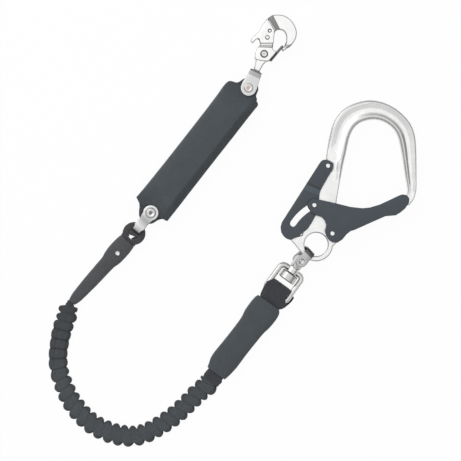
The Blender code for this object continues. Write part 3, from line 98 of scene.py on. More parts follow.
# Camera, placed so that one pixel of the photograph is 1.28 mm at the object

CAMERA_AT = (-0.01547, -0.03855)
CAMERA_UP = 2.223
CAMERA_LENS = 135
CAMERA_SENSOR = 36


def make_camera():
    data = bpy.data.cameras.new("camera")
    data.lens = CAMERA_LENS
    data.sensor_width = CAMERA_SENSOR
    camera = bpy.data.objects.new("camera", data)
    camera.location = (*CAMERA_AT, CAMERA_UP)
    bpy.context.scene.collection.objects.link(camera)
    bpy.context.scene.camera = camera


make_camera()


# Numbers and points

def clamp(value):
    return min(1, max(0, value))


def ramp(value, start, length):
    """0 up to a start, then straight up to 1 over a length."""
    return clamp((value - start) / length)


def eased(share):
    """0 to 1 with a soft start and end."""
    return share * share * (3 - 2 * share)


def bell(value, middle, spread, power=2):
    return exp(-(((value - middle) / spread) ** power))


def mm(*points):
    return [tuple(value * MM for value in point) for point in points]


def even_rows(*rows):
    """Stations of a pad from y, half width, half thickness and middle height."""
    return [(y, -w, w, half, z) for y, w, half, z in rows]


def arc(centre, radius, start, end, steps):
    angles = [radians(start + (end - start) * i / steps) for i in range(steps + 1)]
    return [(centre[0] + radius * cos(a), centre[1] + radius * sin(a)) for a in angles]


def smooth(points, per_span):
    """A Catmull-Rom curve through points of any dimension."""
    last = len(points) - 1
    out = []
    for i in range(last):
        four = [points[min(max(i + k, 0), last)] for k in (-1, 0, 1, 2)]
        for step in range(per_span):
            t = step / per_span
            out.append(tuple(
                0.5 * (2 * b + (c - a) * t + (2 * a - 5 * b + 4 * c - d) * t * t
                       + (3 * b - a - 3 * c + d) * t ** 3)
                for a, b, c, d in zip(*four)
            ))
    return [*out, tuple(points[-1])]


def pillow(left, right, half, count, power):
    """A flattened section from left to right, half thick, fuller than an ellipse."""
    middle, half_w = (left + right) / 2, (right - left) / 2
    out = []
    for i in range(count):
        a = 2 * pi * i / count
        c, s = cos(a), sin(a)
        out.append((
            middle + half_w * copysign(abs(c) ** (2 / power), c),
            half * copysign(abs(s) ** (2 / power), s),
        ))
    return out


def rough_at(point, size, seed=0):
    """Smooth noise from -1 to 1 with bumps of the given size in metres."""
    return noise.noise(Vector(point) / size + Vector((seed, seed * 1.7, -seed)))


def bumps(x, y, *waves):
    """The sum of noises over x, y in metres, each given by its height, size and seed."""
    return sum(height * rough_at((x, y, 0), size, seed) for height, size, seed in waves)


# Meshes

SOFT_ANGLE = 50
TURNED_ANGLE = 35
TURNED_STEPS = 56


def to_object(bm, name, angle=SOFT_ANGLE):
    bmesh.ops.recalc_face_normals(bm, faces=bm.faces)
    mesh = bpy.data.meshes.new(name)
    bm.to_mesh(mesh)
    bm.free()
    mesh.shade_smooth()
    mesh.set_sharp_from_angle(angle=radians(angle))
    obj = bpy.data.objects.new(name, mesh)
    bpy.context.scene.collection.objects.link(obj)
    return obj


def with_headings(points, looped=False):
    """Each point of a path with the direction of the path there."""
    last = len(points) - 1
    for k, at in enumerate(points):
        before = points[k - 1] if looped or k else at
        after = points[(k + 1) % len(points)] if looped or k < last else at
        yield at, (after - before).normalized()


def running(points):
    """Distances along points from the first one."""
    out = [0]
    for a, b in zip(points, points[1:]):
        out.append(out[-1] + (b - a).length)
    return out


def skin(name, rings, looped=False, shade=None, dark=None, angle=SOFT_ANGLE):
    """A mesh through rings of points, its UVs in metres: u along it and v around it.

    shade gives each point's lightness for the cloths, and dark its loss of light for the metals, as rows like
    the rings."""
    bm = bmesh.new()
    uv = bm.loops.layers.uv.new("metres")
    tone = bm.verts.layers.float.new("tone")
    gloom = bm.verts.layers.float.new("dark")
    rings = [[Vector(point) for point in ring] for ring in rings]
    rows = [[bm.verts.new(point) for point in ring] for ring in rings]
    for k, row in enumerate(rows):
        for i, vert in enumerate(row):
            vert[tone] = shade[k][i] if shade else 1
            vert[gloom] = dark[k][i] if dark else 0
    n = len(rings[0])
    middles = [sum(ring, Vector()) / n for ring in rings]
    along = running(middles + (middles[:1] if looped else []))
    widest = max(rings, key=lambda ring: sum((b - a).length for a, b in zip(ring, ring[1:])))
    around = running(widest + widest[:1])
    for k in range(len(rows) if looped else len(rows) - 1):
        after = (k + 1) % len(rows)
        for i in range(n):
            j = (i + 1) % n
            face = bm.faces.new((rows[k][i], rows[k][j], rows[after][j], rows[after][i]))
            for loop, (u, v) in zip(face.loops, ((k, i), (k, i + 1), (k + 1, i + 1), (k + 1, i))):
                loop[uv].uv = (along[u], around[v])
    if not looped:
        bm.faces.new(rows[0][::-1])
        bm.faces.new(rows[-1])
    return to_object(bm, name, angle)


def pad(name, stations, carrier, count=72, steps=6, power=3, shrink=0, reach=0, floor=None, warp=None,
        tone=None):
    """A pad along Y through (y, left, right, half thickness, middle height if not 0) in its carrier's frame.

    It is smaller by shrink all round and reaches past its ends. power is the fullness of its section, also as
    a function of y. warp moves a point x, y, z at an angle round it. tone gives the lightness at x, y."""
    rows = smooth(mm(*((*station, 0)[:5] for station in stations)), steps)
    rings, shade = [], []
    for k, (y, left, right, half, z) in enumerate(rows):
        end = reach * MM * (-1 if k == 0 else 1 if k == len(rows) - 1 else 0)
        y += end * (1 if rows[-1][0] > rows[0][0] else -1)
        fullness = power(y) if callable(power) else power
        section = pillow(left + shrink * MM, right - shrink * MM, half - shrink * MM, count, fullness)
        shade.append([tone(x, y) if tone else 1 for x, up in section])
        ring = []
        for i, (x, up) in enumerate(section):
            point = Vector(warp(x, y, z + up, 2 * pi * i / count) if warp else (x, y, z + up))
            if floor is not None:
                point.z = max(point.z, (floor + shrink) * MM)
            ring.append(carrier @ point)
        rings.append(ring)
    return skin(name, rings, shade=shade)


def sweep(name, path, section, carrier, looped=False, dark=None):
    """A section of points sideways and up, along a path in its carrier's plane."""
    rings = []
    for at, heading in with_headings([Vector((x, y, 0)) for x, y in mm(*path)], looped):
        side = Vector((heading.y, -heading.x, 0))
        rings.append([carrier @ (at + (side * x + Vector((0, 0, z))) * MM) for x, z in section])
    return skin(name, rings, looped, dark=dark)


def lathe(name, profile, carrier, dark=None):
    """A turned piece from (radius, height) points, about the Z axis of its carrier's frame.

    dark has the loss of light at each point of the profile."""
    rings = []
    for i in range(TURNED_STEPS):
        a = 2 * pi * i / TURNED_STEPS
        rings.append([carrier @ Vector((r * cos(a), r * sin(a), z)) for r, z in mm(*profile)])
    losses = [dark] * TURNED_STEPS if dark else None
    return skin(name, rings, looped=True, dark=losses, angle=TURNED_ANGLE)


def cut(obj, tool):
    """Take the shape of a tool out of obj. The tool is used up."""
    change = obj.modifiers.new("cut", "BOOLEAN")
    change.operation = "DIFFERENCE"
    change.solver = "EXACT"
    change.object = tool
    bpy.context.view_layer.update()
    state = bpy.context.evaluated_depsgraph_get()
    seen = obj.evaluated_get(state)
    mesh = bpy.data.meshes.new_from_object(seen, preserve_all_data_layers=True, depsgraph=state)
    obj.modifiers.clear()
    old = obj.data
    obj.data = mesh
    bpy.data.meshes.remove(old)
    bpy.data.objects.remove(tool)
    mesh.shade_smooth()
    mesh.set_sharp_from_angle(angle=radians(SOFT_ANGLE))


CLOTH_WALL = 1.4
PAST_ENDS = 3


def hollow(obj, stations, carrier, count, power, floor=None, warp=None):
    """Leave a wall of cloth round a room that is open at both ends."""
    cut(obj, pad("room", stations, carrier, count, 4, power, CLOTH_WALL, PAST_ENDS, floor, warp))


def wear(obj, look):
    obj.data.materials.clear()
    obj.data.materials.append(look)


def add_to(node, obj, look):
    """obj moves with a CAD node's body and takes its finish."""
    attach(obj, BODY_OF[node])
    wear(obj, look)


def stand_in(node, obj, look):
    """obj takes the place of a CAD node."""
    add_to(node, obj, look)
    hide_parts(node)


def stretch_in(node, obj, look, far_body, carrier, start, end):
    """obj takes the place of a CAD node. far_body, carrier, start and end are not used."""
    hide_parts(node)
    wear(obj, look)
    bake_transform(obj)


def on_plane(carrier, point):
    """A point x, y of a carrier's plane in the world."""
    return carrier @ (Vector((*point, 0)) * MM)


# Where a rounded edge folds over, points farther off than this share of its width go back to the surface
STRAY_SHARE = 0.45
WELD = 0.02 * MM
FLAT_ANGLE = 0.6
FINE_ANGLE = 40
SPRING_ANGLE = 60


def finer(node, look, width=0.35, angle=30, segments=2, carrier=None, cuts=(), dark=None, keep=None):
    """A copy of a CAD node with rounded edges. Its edge faces are marked for the materials.

    cuts are lines across the node in its carrier's frame. dark gives the loss of light of a face there, from
    its middle and its normal. An edge stays sharp where keep is true of both its ends."""
    bm = bmesh.new()
    bm.from_mesh(frame["nodes"][node].data)
    bmesh.ops.remove_doubles(bm, verts=bm.verts, dist=WELD)
    bmesh.ops.dissolve_limit(bm, angle_limit=radians(FLAT_ANGLE), verts=bm.verts, edges=bm.edges)
    surface = BVHTree.FromBMesh(bm)
    edge = bm.faces.layers.float.new("edge")
    sharp = [e for e in bm.edges if len(e.link_faces) == 2 and e.calc_face_angle(0) > radians(angle)]
    if keep:
        back = carrier.inverted()
        sharp = [e for e in sharp if not all(keep(*(back @ vert.co / MM)) for vert in e.verts)]
    made = bmesh.ops.bevel(bm, geom=sharp, offset=width * MM, offset_type="OFFSET", segments=segments,
                           profile=0.5, affect="EDGES", clamp_overlap=False, miter_outer="ARC")
    for face in made["faces"]:
        face[edge] = 1
    for vert in bm.verts:
        nearest, _, _, distance = surface.find_nearest(vert.co)
        if distance > STRAY_SHARE * width * MM:
            vert.co = nearest
    for start, end in cuts:
        a, b = on_plane(carrier, start), on_plane(carrier, end)
        across = (b - a).cross(carrier.to_3x3() @ Vector((0, 0, 1))).normalized()
        parts = list(bm.verts) + list(bm.edges) + list(bm.faces)
        bmesh.ops.bisect_plane(bm, geom=parts, plane_co=a, plane_no=across)
    bmesh.ops.triangulate(bm, faces=[f for f in bm.faces if len(f.verts) > 4])
    if dark:
        gloom = bm.faces.layers.float.new("dark")
        back, turn = carrier.inverted(), carrier.inverted().to_3x3()
        bm.normal_update()
        for face in bm.faces:
            face[gloom] = dark(*(back @ face.calc_center_median() / MM), turn @ face.normal)
    stand_in(node, to_object(bm, "fine_" + node, FINE_ANGLE), look)


def sprung(node, body, carrier, start, end, look):
    """A copy of a CAD spring in its place."""
    bm = bmesh.new()
    bm.from_mesh(frame["nodes"][node].data)
    spring = to_object(bm, "sprung_" + node, SPRING_ANGLE)
    stretch_in(node, spring, look, body, carrier, start, end)


# Materials

class Nodes:
    """A node tree, built node by node."""

    def __init__(self, tree):
        self.tree = tree

    def add(self, kind, inputs=None, **settings):
        node = self.tree.nodes.new("ShaderNode" + kind)
        for key, value in settings.items():
            setattr(node, key, value)
        for key, value in (inputs or {}).items():
            self.feed(node.inputs[key], value)
        return node

    def feed(self, socket, value):
        if isinstance(value, bpy.types.NodeSocket):
            self.tree.links.new(value, socket)
        else:
            socket.default_value = value

    def math(self, operation, a, b=0):
        return self.add("Math", {0: a, 1: b}, operation=operation).outputs[0]


class Look(Nodes):
    """A material."""

    def __init__(self, name, roughness, metallic=0, **fixed):
        self.material = bpy.data.materials.new(name)
        self.material.use_nodes = True
        super().__init__(self.material.node_tree)
        self.shader = self.tree.nodes["Principled BSDF"]
        self.shader.inputs["Roughness"].default_value = roughness
        self.shader.inputs["Metallic"].default_value = metallic
        for key, value in fixed.items():
            self.shader.inputs[key.replace("_", " ")].default_value = value

    def mix(self, share, a, b, blend="MIX"):
        return self.add("Mix", {0: share, 6: a, 7: b}, data_type="RGBA", blend_type=blend).outputs[2]

    def between(self, value, low, high, start=0, end=1):
        """value from low to high, as start to end."""
        return self.add("MapRange", {0: value, 1: low, 2: high, 3: start, 4: end}).outputs[0]

    def noise(self, where, size, detail, roughness):
        """Noise with features of the given size in metres."""
        inputs = {"Vector": where, "Scale": 1 / size, "Detail": detail, "Roughness": roughness}
        return self.add("TexNoise", inputs).outputs[0]

    def place(self, turn=0, stretch=(1, 1, 1), kind="Object"):
        """Coordinates in metres, turned about Z and stretched."""
        source = self.add("TexCoord").outputs[kind]
        return self.add("Mapping", {0: source, 2: (0, 0, radians(turn)), 3: stretch}).outputs[0]

    def attribute(self, name):
        return self.add("Attribute", attribute_name=name).outputs["Fac"]

    def times(self, colour, value):
        """A colour, as light as the value says."""
        grey = self.add("CombineColor", {0: value, 1: value, 2: value}).outputs[0]
        return self.mix(1, colour, grey, "MULTIPLY")

    def dimmed(self, colour):
        """The colour where the mesh takes no light away, and less of it where it does."""
        return self.times(colour, self.math("SUBTRACT", 1, self.attribute("dark")))

    def bump(self, height, depth, strength=1, **below):
        inputs = {"Strength": strength, "Distance": depth, "Height": height, **below}
        return self.add("Bump", inputs).outputs[0]

    def ends(self, colour, roughness, normal):
        for key, value in (("Base Color", colour), ("Roughness", roughness), ("Normal", normal)):
            self.feed(self.shader.inputs[key], value)
        return self.material


def tinted(colour, by):
    return (*[value * by for value in colour], 1)


def metal(name, colour, roughness, grain, depth, stretch=(1, 1, 1), turn=0, dull=0.9, rim=0.75):
    """Bare metal: faint patches, fine grain or brushing, painted shade on its rounded edges, and the mesh's
    painted shade and highlights.
    """
    look = Look(name, roughness, 1)
    where = look.place(turn)
    brushed = look.place(turn, stretch)
    patches = look.noise(where, 0.012, 4, 0.6)
    fine = look.noise(brushed, grain, 3, 0.6)
    base = look.mix(look.between(patches, 0.35, 0.65), tinted(colour, dull), tinted(colour, 1))
    # Painted shade: rounded edges take the darker rim colour, and the mesh's dark attribute takes light away
    shaded_colour = look.dimmed(look.mix(look.attribute("edge"), base, tinted(colour, rim)))
    rough = look.between(look.math("ADD", patches, fine), 0.6, 1.4, roughness - 0.07, roughness + 0.09)
    scratches = look.noise(look.place(turn + 30, (1, 14, 1)), 0.004, 2, 0.7)
    normal = look.bump(look.between(scratches, 0.62, 0.72), 0.00001, 0.4)
    return look.ends(shaded_colour, rough, look.bump(fine, depth, Normal=normal))


def painted(name, colour, worn):
    """Textured powder coat, rubbed through to the sheet in spots along its edges."""
    look = Look(name, 0.42)
    where = look.place()
    patches = look.noise(where, 0.014, 4, 0.6)
    peel = look.noise(where, 0.0009, 2, 0.5)
    base = look.mix(look.between(patches, 0.3, 0.7), tinted(colour, 0.92), tinted(colour, 1.08))
    spots = look.between(look.noise(where, 0.0025, 3, 0.7), 0.60, 0.68)
    rubbed = look.math("MULTIPLY", look.attribute("edge"), spots)
    # dimmed brings in the mesh's painted shade and painted highlight
    tone = look.dimmed(look.mix(rubbed, base, tinted(worn, 1)))
    rough = look.between(patches, 0.3, 0.7, 0.36, 0.48)
    return look.ends(tone, rough, look.bump(peel, 0.00006, 0.7))


def cloth(name, colour, thread, depth, fuzz, roughness, sheen, long_thread=2):
    """Woven cloth on UVs in metres: warp threads along u, over and under, with faint patches."""
    look = Look(name, roughness, Sheen_Weight=sheen, Sheen_Roughness=0.5)
    where = look.place(kind="UV")
    solid = look.place()
    weave = look.add("TexBrick", {
        "Vector": where, "Color1": tinted(colour, 0.86), "Color2": tinted(colour, 1.14),
        "Mortar": tinted(colour, 0.55), "Scale": 1 / thread, "Mortar Size": 0.10, "Mortar Smooth": 0.6,
        "Brick Width": long_thread, "Row Height": 1,
    }, offset=0.5)
    patches = look.noise(solid, 0.018, 4, 0.6)
    hairs = look.noise(solid, thread * 0.45, 2, 0.7)
    base = look.mix(look.between(patches, 0.3, 0.7), (0.88, 0.88, 0.88, 1), (1.1, 1.1, 1.1, 1))
    woven = look.mix(1, weave.outputs["Color"], base, "MULTIPLY")
    worn = look.mix(look.math("MULTIPLY", look.between(hairs, 0.55, 0.8), fuzz), woven, tinted(colour, 1.9))
    # The tone attribute multiplies in the painted shade and highlights that the webbing and cover meshes
    # carry
    final = look.times(worn, look.attribute("tone"))
    height = look.math("SUBTRACT", look.math("MULTIPLY", hairs, 0.35), weave.outputs["Fac"])
    rough = look.between(patches, 0.3, 0.7, roughness - 0.05, roughness + 0.07)
    return look.ends(final, rough, look.bump(height, depth, 0.8))


BRUSHED = (1, 9, 1)
TURNED = (1, 1, 8)
# rim, given last or by name, is painted shade on a metal's rounded edges: the lower, the darker, darkest in
# OUTLINED
ALUMINIUM = metal("forged_aluminium", (0.93, 0.93, 0.92), 0.34, 0.0007, 0.00004, rim=0.76)
POLISHED = metal("polished_steel", (0.95, 0.95, 0.94), 0.30, 0.0006, 0.00001, BRUSHED, 24, 0.96, 0.50)
STEEL = metal("plated_steel", (0.80, 0.80, 0.79), 0.32, 0.0006, 0.00002, BRUSHED, 36)
SHEET_STEEL = metal("pressed_steel", (0.80, 0.81, 0.80), 0.34, 0.0006, 0.00002, BRUSHED, 24, rim=0.6)
BRIGHT = metal("turned_steel", (0.88, 0.88, 0.87), 0.26, 0.0005, 0.00001)
OUTLINED = metal("pressed_polished_steel", (0.95, 0.95, 0.94), 0.30, 0.0006, 0.00001, BRUSHED, 24, 0.96,
                 0.26)
STUD_STEEL = metal("stud_steel", (0.70, 0.70, 0.69), 0.34, 0.0007, 0.00002, rim=0.6)
NUT_STEEL = metal("barrel_steel", (0.66, 0.66, 0.65), 0.36, 0.0007, 0.00002, TURNED)
WARM_STEEL = metal("tarnished_steel", (0.80, 0.74, 0.70), 0.34, 0.0008, 0.00002)
SPRING = metal("spring_wire", (0.45, 0.45, 0.46), 0.30, 0.0004, 0.00001)
DARK_SPRING = metal("blackened_wire", (0.10, 0.10, 0.11), 0.45, 0.0004, 0.00001)
PAINT = painted("slate_paint", (0.047, 0.060, 0.074), (0.30, 0.31, 0.32))
COVER = cloth("cover_cloth", (0.070, 0.083, 0.094), 0.0007, 0.00008, 0.10, 0.70, 0.2, 1)
GUARD = cloth("guard_cloth", (0.082, 0.088, 0.094), 0.0010, 0.00012, 0.25, 0.78, 0.2)
WEBBING = cloth("webbing", (0.066, 0.074, 0.082), 0.0011, 0.00020, 0.20, 0.85, 0.3)
EYE_WEBBING = cloth("eye_webbing", (0.060, 0.060, 0.066), 0.0011, 0.00018, 0.20, 0.82, 0.3)
DARK_WEBBING = cloth("loop_webbing", (0.046, 0.050, 0.058), 0.0012, 0.00020, 0.20, 0.85, 0.3)
PACK_WEBBING = cloth("pack_webbing", (0.058, 0.067, 0.076), 0.0011, 0.00016, 0.20, 0.80, 0.3)


# Gathered webbing, the one free cord

ROUTE = mm(
    (-222.6, -142.7), (-225.8, -154.2), (-230.2, -167), (-233.7, -179.8), (-235.8, -192.6),
    (-236.9, -205.4), (-236.2, -218.5), (-233.3, -231.5), (-228.5, -244.3), (-223, -256.4),
    (-216.8, -266.8), (-208.7, -277), (-199.4, -286.4), (-188.9, -294), (-177.4, -300),
    (-165.8, -304), (-155.3, -306.4), (-144.1, -307.4), (-132.9, -306.2), (-122.3, -302.8),
    (-112.1, -297.4), (-101.7, -291.2), (-91.4, -284.1), (-81.8, -276.3), (-72.7, -267.6),
    (-64, -259), (-55.6, -250.6),
)
# How full the webbing is, at even distances from the guard to the collar
FULLNESS = (1, 0.99, 0.92, 0.90, 0.92, 0.97, 1.02, 1.02, 1.05, 1.04, 0.99, 0.98, 0.97, 0.97, 1, 1.02)
GUARD_END = 119.5
COLLAR_END = 125
GUARD_GAP = 0.6
COLLAR_GAP = 1
LEAD_OUT = 3
LEAD_IN = 7
WEBBING_LENGTH = 0.3513
WEBBING_WIDTH = 27
WEBBING_THICK = 8
REST_CUT = 0.5
RIB_PITCH = 12.3
RIB_SLANT = 0.25
# Distances from the guard: where the webbing is drawn out flat, and from where its grooves slant
DRAWN_AT, DRAWN_SPREAD = 58, 32
SLANT_FROM, SLANT_OVER = 92, 7
# The share of the way at which the grooves of the middle band are faint
FAINT_AT, FAINT_SPREAD = 0.60, 0.16
# The knobs of a section start at this share of its half width, over this share
KNOBS_FROM, KNOBS_OVER = 0.48, 0.36
KNOB_DEPTH = 0.43


def webbing_route():
    """The webbing's middle line on the floor, from the guard's end to the collar's end."""
    def spot(carrier, x, y):
        return tuple(on_plane(carrier, (x, y)).xy)

    start = spot(RING, 0.4, -GUARD_END - GUARD_GAP)
    after = spot(RING, 0.4, -GUARD_END - GUARD_GAP - LEAD_OUT)
    before = spot(SLEEVE, -0.8, -COLLAR_END - COLLAR_GAP - LEAD_IN)
    end = spot(SLEEVE, -0.8, -COLLAR_END - COLLAR_GAP)
    shift = ROOT.translation
    return [start, after, *[(x + shift.x, y + shift.y) for x, y in ROUTE], before, end]


def even_points(route, count):
    """Points at even distances along a route, each with its heading."""
    fine = [Vector(point) for point in smooth(route, 12)]
    run = running(fine)
    out, k = [], 0
    for i in range(count):
        want = run[-1] * i / (count - 1)
        while k < len(fine) - 2 and run[k + 1] < want:
            k += 1
        share = (want - run[k]) / (run[k + 1] - run[k])
        out.append((fine[k].lerp(fine[k + 1], share), (fine[k + 1] - fine[k]).normalized()))
    return out


def level_at(levels, share):
    """The value between even levels at a share of the way."""
    place = share * (len(levels) - 1)
    k = min(int(place), len(levels) - 2)
    return levels[k] + (levels[k + 1] - levels[k]) * (place - k)


def rib_at(x, side, edge, distance):
    """The number of the rib that a point lies in, and how far along it the point is, from 0 to 1."""
    slant = 1 / (1 + exp((SLANT_FROM - distance / MM) / SLANT_OVER)) + 0.75 * bell(distance, 0, 0.025)
    bent = RIB_SLANT * (1 + x) * slant + 0.035 * sin(distance / 0.047 + 2 * side) * edge
    turns = distance / (RIB_PITCH * MM) - bent
    rib = turns // 1
    wander = 0.07 * rough_at((rib * 0.91, side * 2.3 * edge, 0), 1, 4)
    return rib, turns - rib + wander * sin(pi * (turns - rib))


def start_taper(x, distance):
    """The webbing comes out of the guard narrow, and a little wider on its right."""
    reach = distance / 0.0085 if x > 0 else distance / 0.0045
    taper = min(1, 0.46 + max(0, reach - 0.35 * (x > 0)))
    return taper if x > 0 else taper * (1 - 0.20 * bell(distance, 0.004, 0.006))


def webbing_ring(at, heading, distance, share):
    """A section of the gathered webbing: points and their lightness.

    The middle band is flat with one slanting groove per rib; each rib ends in a round knob on both sides. A
    short way past the guard it is drawn out flat, with shallow knobs and plain grooves straight across."""
    across = Vector((heading.y, -heading.x))
    full = WEBBING_WIDTH / 2 * MM * level_at(FULLNESS, share)
    drawn = bell(distance / MM, DRAWN_AT, DRAWN_SPREAD, 4)
    level = bell(share, FAINT_AT, FAINT_SPREAD)
    near = 1 - 0.20 * bell(distance, 0, 0.075, 4) - 0.13 * bell(distance, 0, 0.020, 4)
    ring, tones = [], []
    for x, up in pillow(-1, 1, 1, 80, 2.5):
        side = 1 if x > 0 else -1
        edge = eased(ramp(abs(x), KNOBS_FROM, KNOBS_OVER))
        rib, phase = rib_at(x, side, edge, distance)
        swell = abs(sin(pi * clamp(phase)))
        lobe = swell ** 0.56
        deep = (KNOB_DEPTH + 0.06 * rough_at((rib * 1.3, side * 5, 0), 1, 7)) * (1 - 0.72 * drawn)
        taper = start_taper(x, distance)
        knob = 1 + 0.03 * rough_at((rib * 0.7, side * 3, 0), 1, 9) * edge
        half_w = full * taper * knob * (1 - deep * (1 - lobe) * edge)
        valley = min(phase, 1 - phase) * RIB_PITCH
        groove = bell(valley, 0, 1.05 + 0.35 * edge)
        half_t = WEBBING_THICK / 2 * MM * (0.88 + 0.12 * taper)
        sink = groove * (0.07 - 0.05 * level + 0.10 * drawn + 0.40 * edge * (1 - 0.5 * drawn))
        sink += 0.40 * edge * (1 - lobe) * (1 - drawn)
        lines = drawn * (0.13 * bell(x, 0.40, 0.06) + 0.07 * bell(x, -0.74, 0.05))
        spot = at + across * (x * half_w)
        z = half_t + up * half_t * (1 - sink - lines) - REST_CUT * MM
        nub = rough_at((spot.x, spot.y, z), 0.0016, 3) * edge
        z += (0.26 * nub + 0.10 * rough_at((spot.x, spot.y, up), 0.004)) * MM
        spot = spot + across * (0.22 * MM * side * nub * (1 - abs(up)))
        ring.append((spot.x, spot.y, max(z, 0)))
        # Painted shade in the grooves, over the knobs, in the gaps between them and along the drawn lines,
        # and a painted highlight on raised nubs; the webbing is also darker close to the guard
        faint = 0.32 - 0.24 * level + 0.36 * drawn + 0.30 * edge * (1 - drawn)
        shaded = 1 - 0.50 * edge * (1 - swell) * (1 - 0.6 * drawn)
        tone = (1.14 - 0.38 * edge + 0.24 * nub) * (1 - faint * groove) * shaded * near
        tones.append(tone * (1 - 3 * lines))
    return ring, tones


WEBBING_STEPS = 520


def make_gathered_webbing():
    """Elastic webbing drawn up into ribs that end in a knob on each side."""
    points = even_points(webbing_route(), WEBBING_STEPS + 1)
    rings, shade = [], []
    for i, (at, heading) in enumerate(points):
        ring, tones = webbing_ring(at, heading, WEBBING_LENGTH * i / WEBBING_STEPS, i / WEBBING_STEPS)
        rings.append(ring)
        shade.append(tones)
    webbing = skin("elastic_webbing", rings, shade=shade)
    stand_in("gathered_webbing", webbing, WEBBING)


make_gathered_webbing()


# Shock absorber pack

COVER_STATIONS = (
    (-100.4, -20.3, 14.4, 5.8), (-99, -22.6, 15.6, 5.8), (-97.9, -25, 17.4, 5.8),
    (-96.8, -27.2, 22.2, 5.8), (-94, -27, 22.9, 5.8), (-86, -26.7, 23, 6.6),
    (-78, -26.5, 23, 8.6), (-68, -26.4, 23, 9.7), (-40, -26.1, 22.9, 10),
    (0, -26, 22.8, 10), (40, -26.1, 22.9, 10), (68, -26.5, 22.8, 9.7),
    (78, -27, 22.8, 8.4), (86, -27, 22.9, 6.4), (90.6, -26.4, 22.9, 5.8),
    (93, -25.4, 21.8, 5.8), (94.6, -23.6, 18.6, 5.8), (96, -20.2, 16.6, 5.8),
    (97.5, -16.1, 14.8, 5.8),
)
COVER_FALL = 4.2
COVER_FOLD = 0.0125
PIN_NOTCH_R = 6.4
THROUGH = 60
PLIES = 3


def cover_power(y):
    """Pillow-shaped along its middle and flat like an envelope at its ends."""
    return 3.2 + 4.8 * ramp(abs(y), 68 * MM, 22 * MM)


def cover_end(y):
    return ramp(abs(y), 0.072, 0.022)


def cover_slope(x, y):
    """How far a point is down the slope along the cover's right side."""
    return ramp(x, COVER_FOLD, 0.0095) ** 1.6 * (1 - 0.75 * cover_end(y))


def cover_warp(x, y, z, angle):
    """A flat face that slopes off along the right side, broad dents, and creases round the pins."""
    end = cover_end(y)
    dent = bumps(x, y, (0.30, 0.034, 2), (0.12, 0.010, 5))
    reach = hypot(x, abs(y) - PIN_SPREAD / 2 * MM)
    crease = 0.30 * sin(reach / 0.00060) * bell(reach, 0.0165, 0.0045)
    seam = 0.40 * bell(x, 0.0128, 0.0007) * (1 - end)
    rise = (dent * (1 - 0.6 * end) + crease + seam - COVER_FALL * cover_slope(x, y)) * MM
    return x + 0.12 * MM * rough_at((0, y, z), 0.012, 7), y, z + rise * sin(angle)


def cover_room(x, y, z, angle):
    """The cover's inside follows its sloping side."""
    return x, y, z - COVER_FALL * MM * cover_slope(x, y) * sin(angle)


def cover_tone(x, y):
    """Painted shade makes the cover darker down its sloping side and toward its ends, and a painted highlight
    makes it lighter on its left rim.
    """
    end = ramp(abs(y), 0.080, 0.016)
    side = ramp(x, COVER_FOLD, 0.0030)
    rim = ramp(-x, 0.0248, 0.0010)
    return (1 - 0.24 * side * (1 - 0.6 * end)) * (1 - 0.22 * end) * (1 + 0.35 * rim * (1 - end))


def pin_hole(radius, pin_y):
    """A rod through the pack on a pin's axis."""
    bm = bmesh.new()
    bmesh.ops.create_cone(bm, cap_ends=True, segments=64, radius1=radius * MM, radius2=radius * MM,
                          depth=THROUGH * MM, matrix=PACK @ moved(y=pin_y))
    return to_object(bm, "hole")


def make_cover():
    cover = pad("pack_cover", COVER_STATIONS, PACK, 120, 10, cover_power, warp=cover_warp, tone=cover_tone)
    hollow(cover, COVER_STATIONS, PACK, 48, cover_power, warp=cover_room)
    for sign in (1, -1):
        cut(cover, pin_hole(PIN_NOTCH_R, sign * PIN_SPREAD / 2))
    stand_in("absorber_cover", cover, COVER)


def band(name, path, half_w, thick, carrier):
    """A webbing band edge-on: its path in its carrier's plane, its width along Z, grooves between plies."""
    section = []
    for across, up in pillow(-1, 1, 1, 40, 5):
        groove = 0.5 * (1 + cos(across * pi * PLIES)) * 0.10 if abs(up) > 0.8 else 0
        section.append((across * thick / 2, up * half_w * (1 - groove)))
    return sweep(name, path, section, carrier)


# The webbing spreads from each loop out to the corners of the cover
NECKS = {
    "upper": (
        (88, -22, 19, 3.7), (94, -21, 18.2, 3.8), (97.2, -17.4, 16.9, 3.9),
        (99.2, -15.4, 13.9, 3.9), (102.9, -13.9, 12.4, 3.9), (107, -12.4, 11.2, 3.9),
        (110.6, -9.2, 8.2, 3.9), (112.8, -5.6, 4.8, 3.8), (113.8, -2.2, 1.4, 3.6),
    ),
    "lower": (
        (-88, -22, 19, 3.7), (-96, -22, 17, 3.8), (-101, -19.2, 14, 3.9),
        (-104, -16.6, 12.3, 3.9), (-107.8, -14.2, 11, 3.9), (-111.6, -11.4, 9, 3.9),
        (-114.2, -8.6, 5.6, 3.8), (-115.4, -5, 2, 3.6),
    ),
}
PACK_LOOP_IN, PACK_LOOP_OUT = 6, 13.2
PACK_LOOP_SHIFT = -0.9
PACK_LOOP_LEGS = 12
PACK_TAIL_TO = 67
NECK_EYE_R = 6.1
TAIL_HALF_W = 8.6


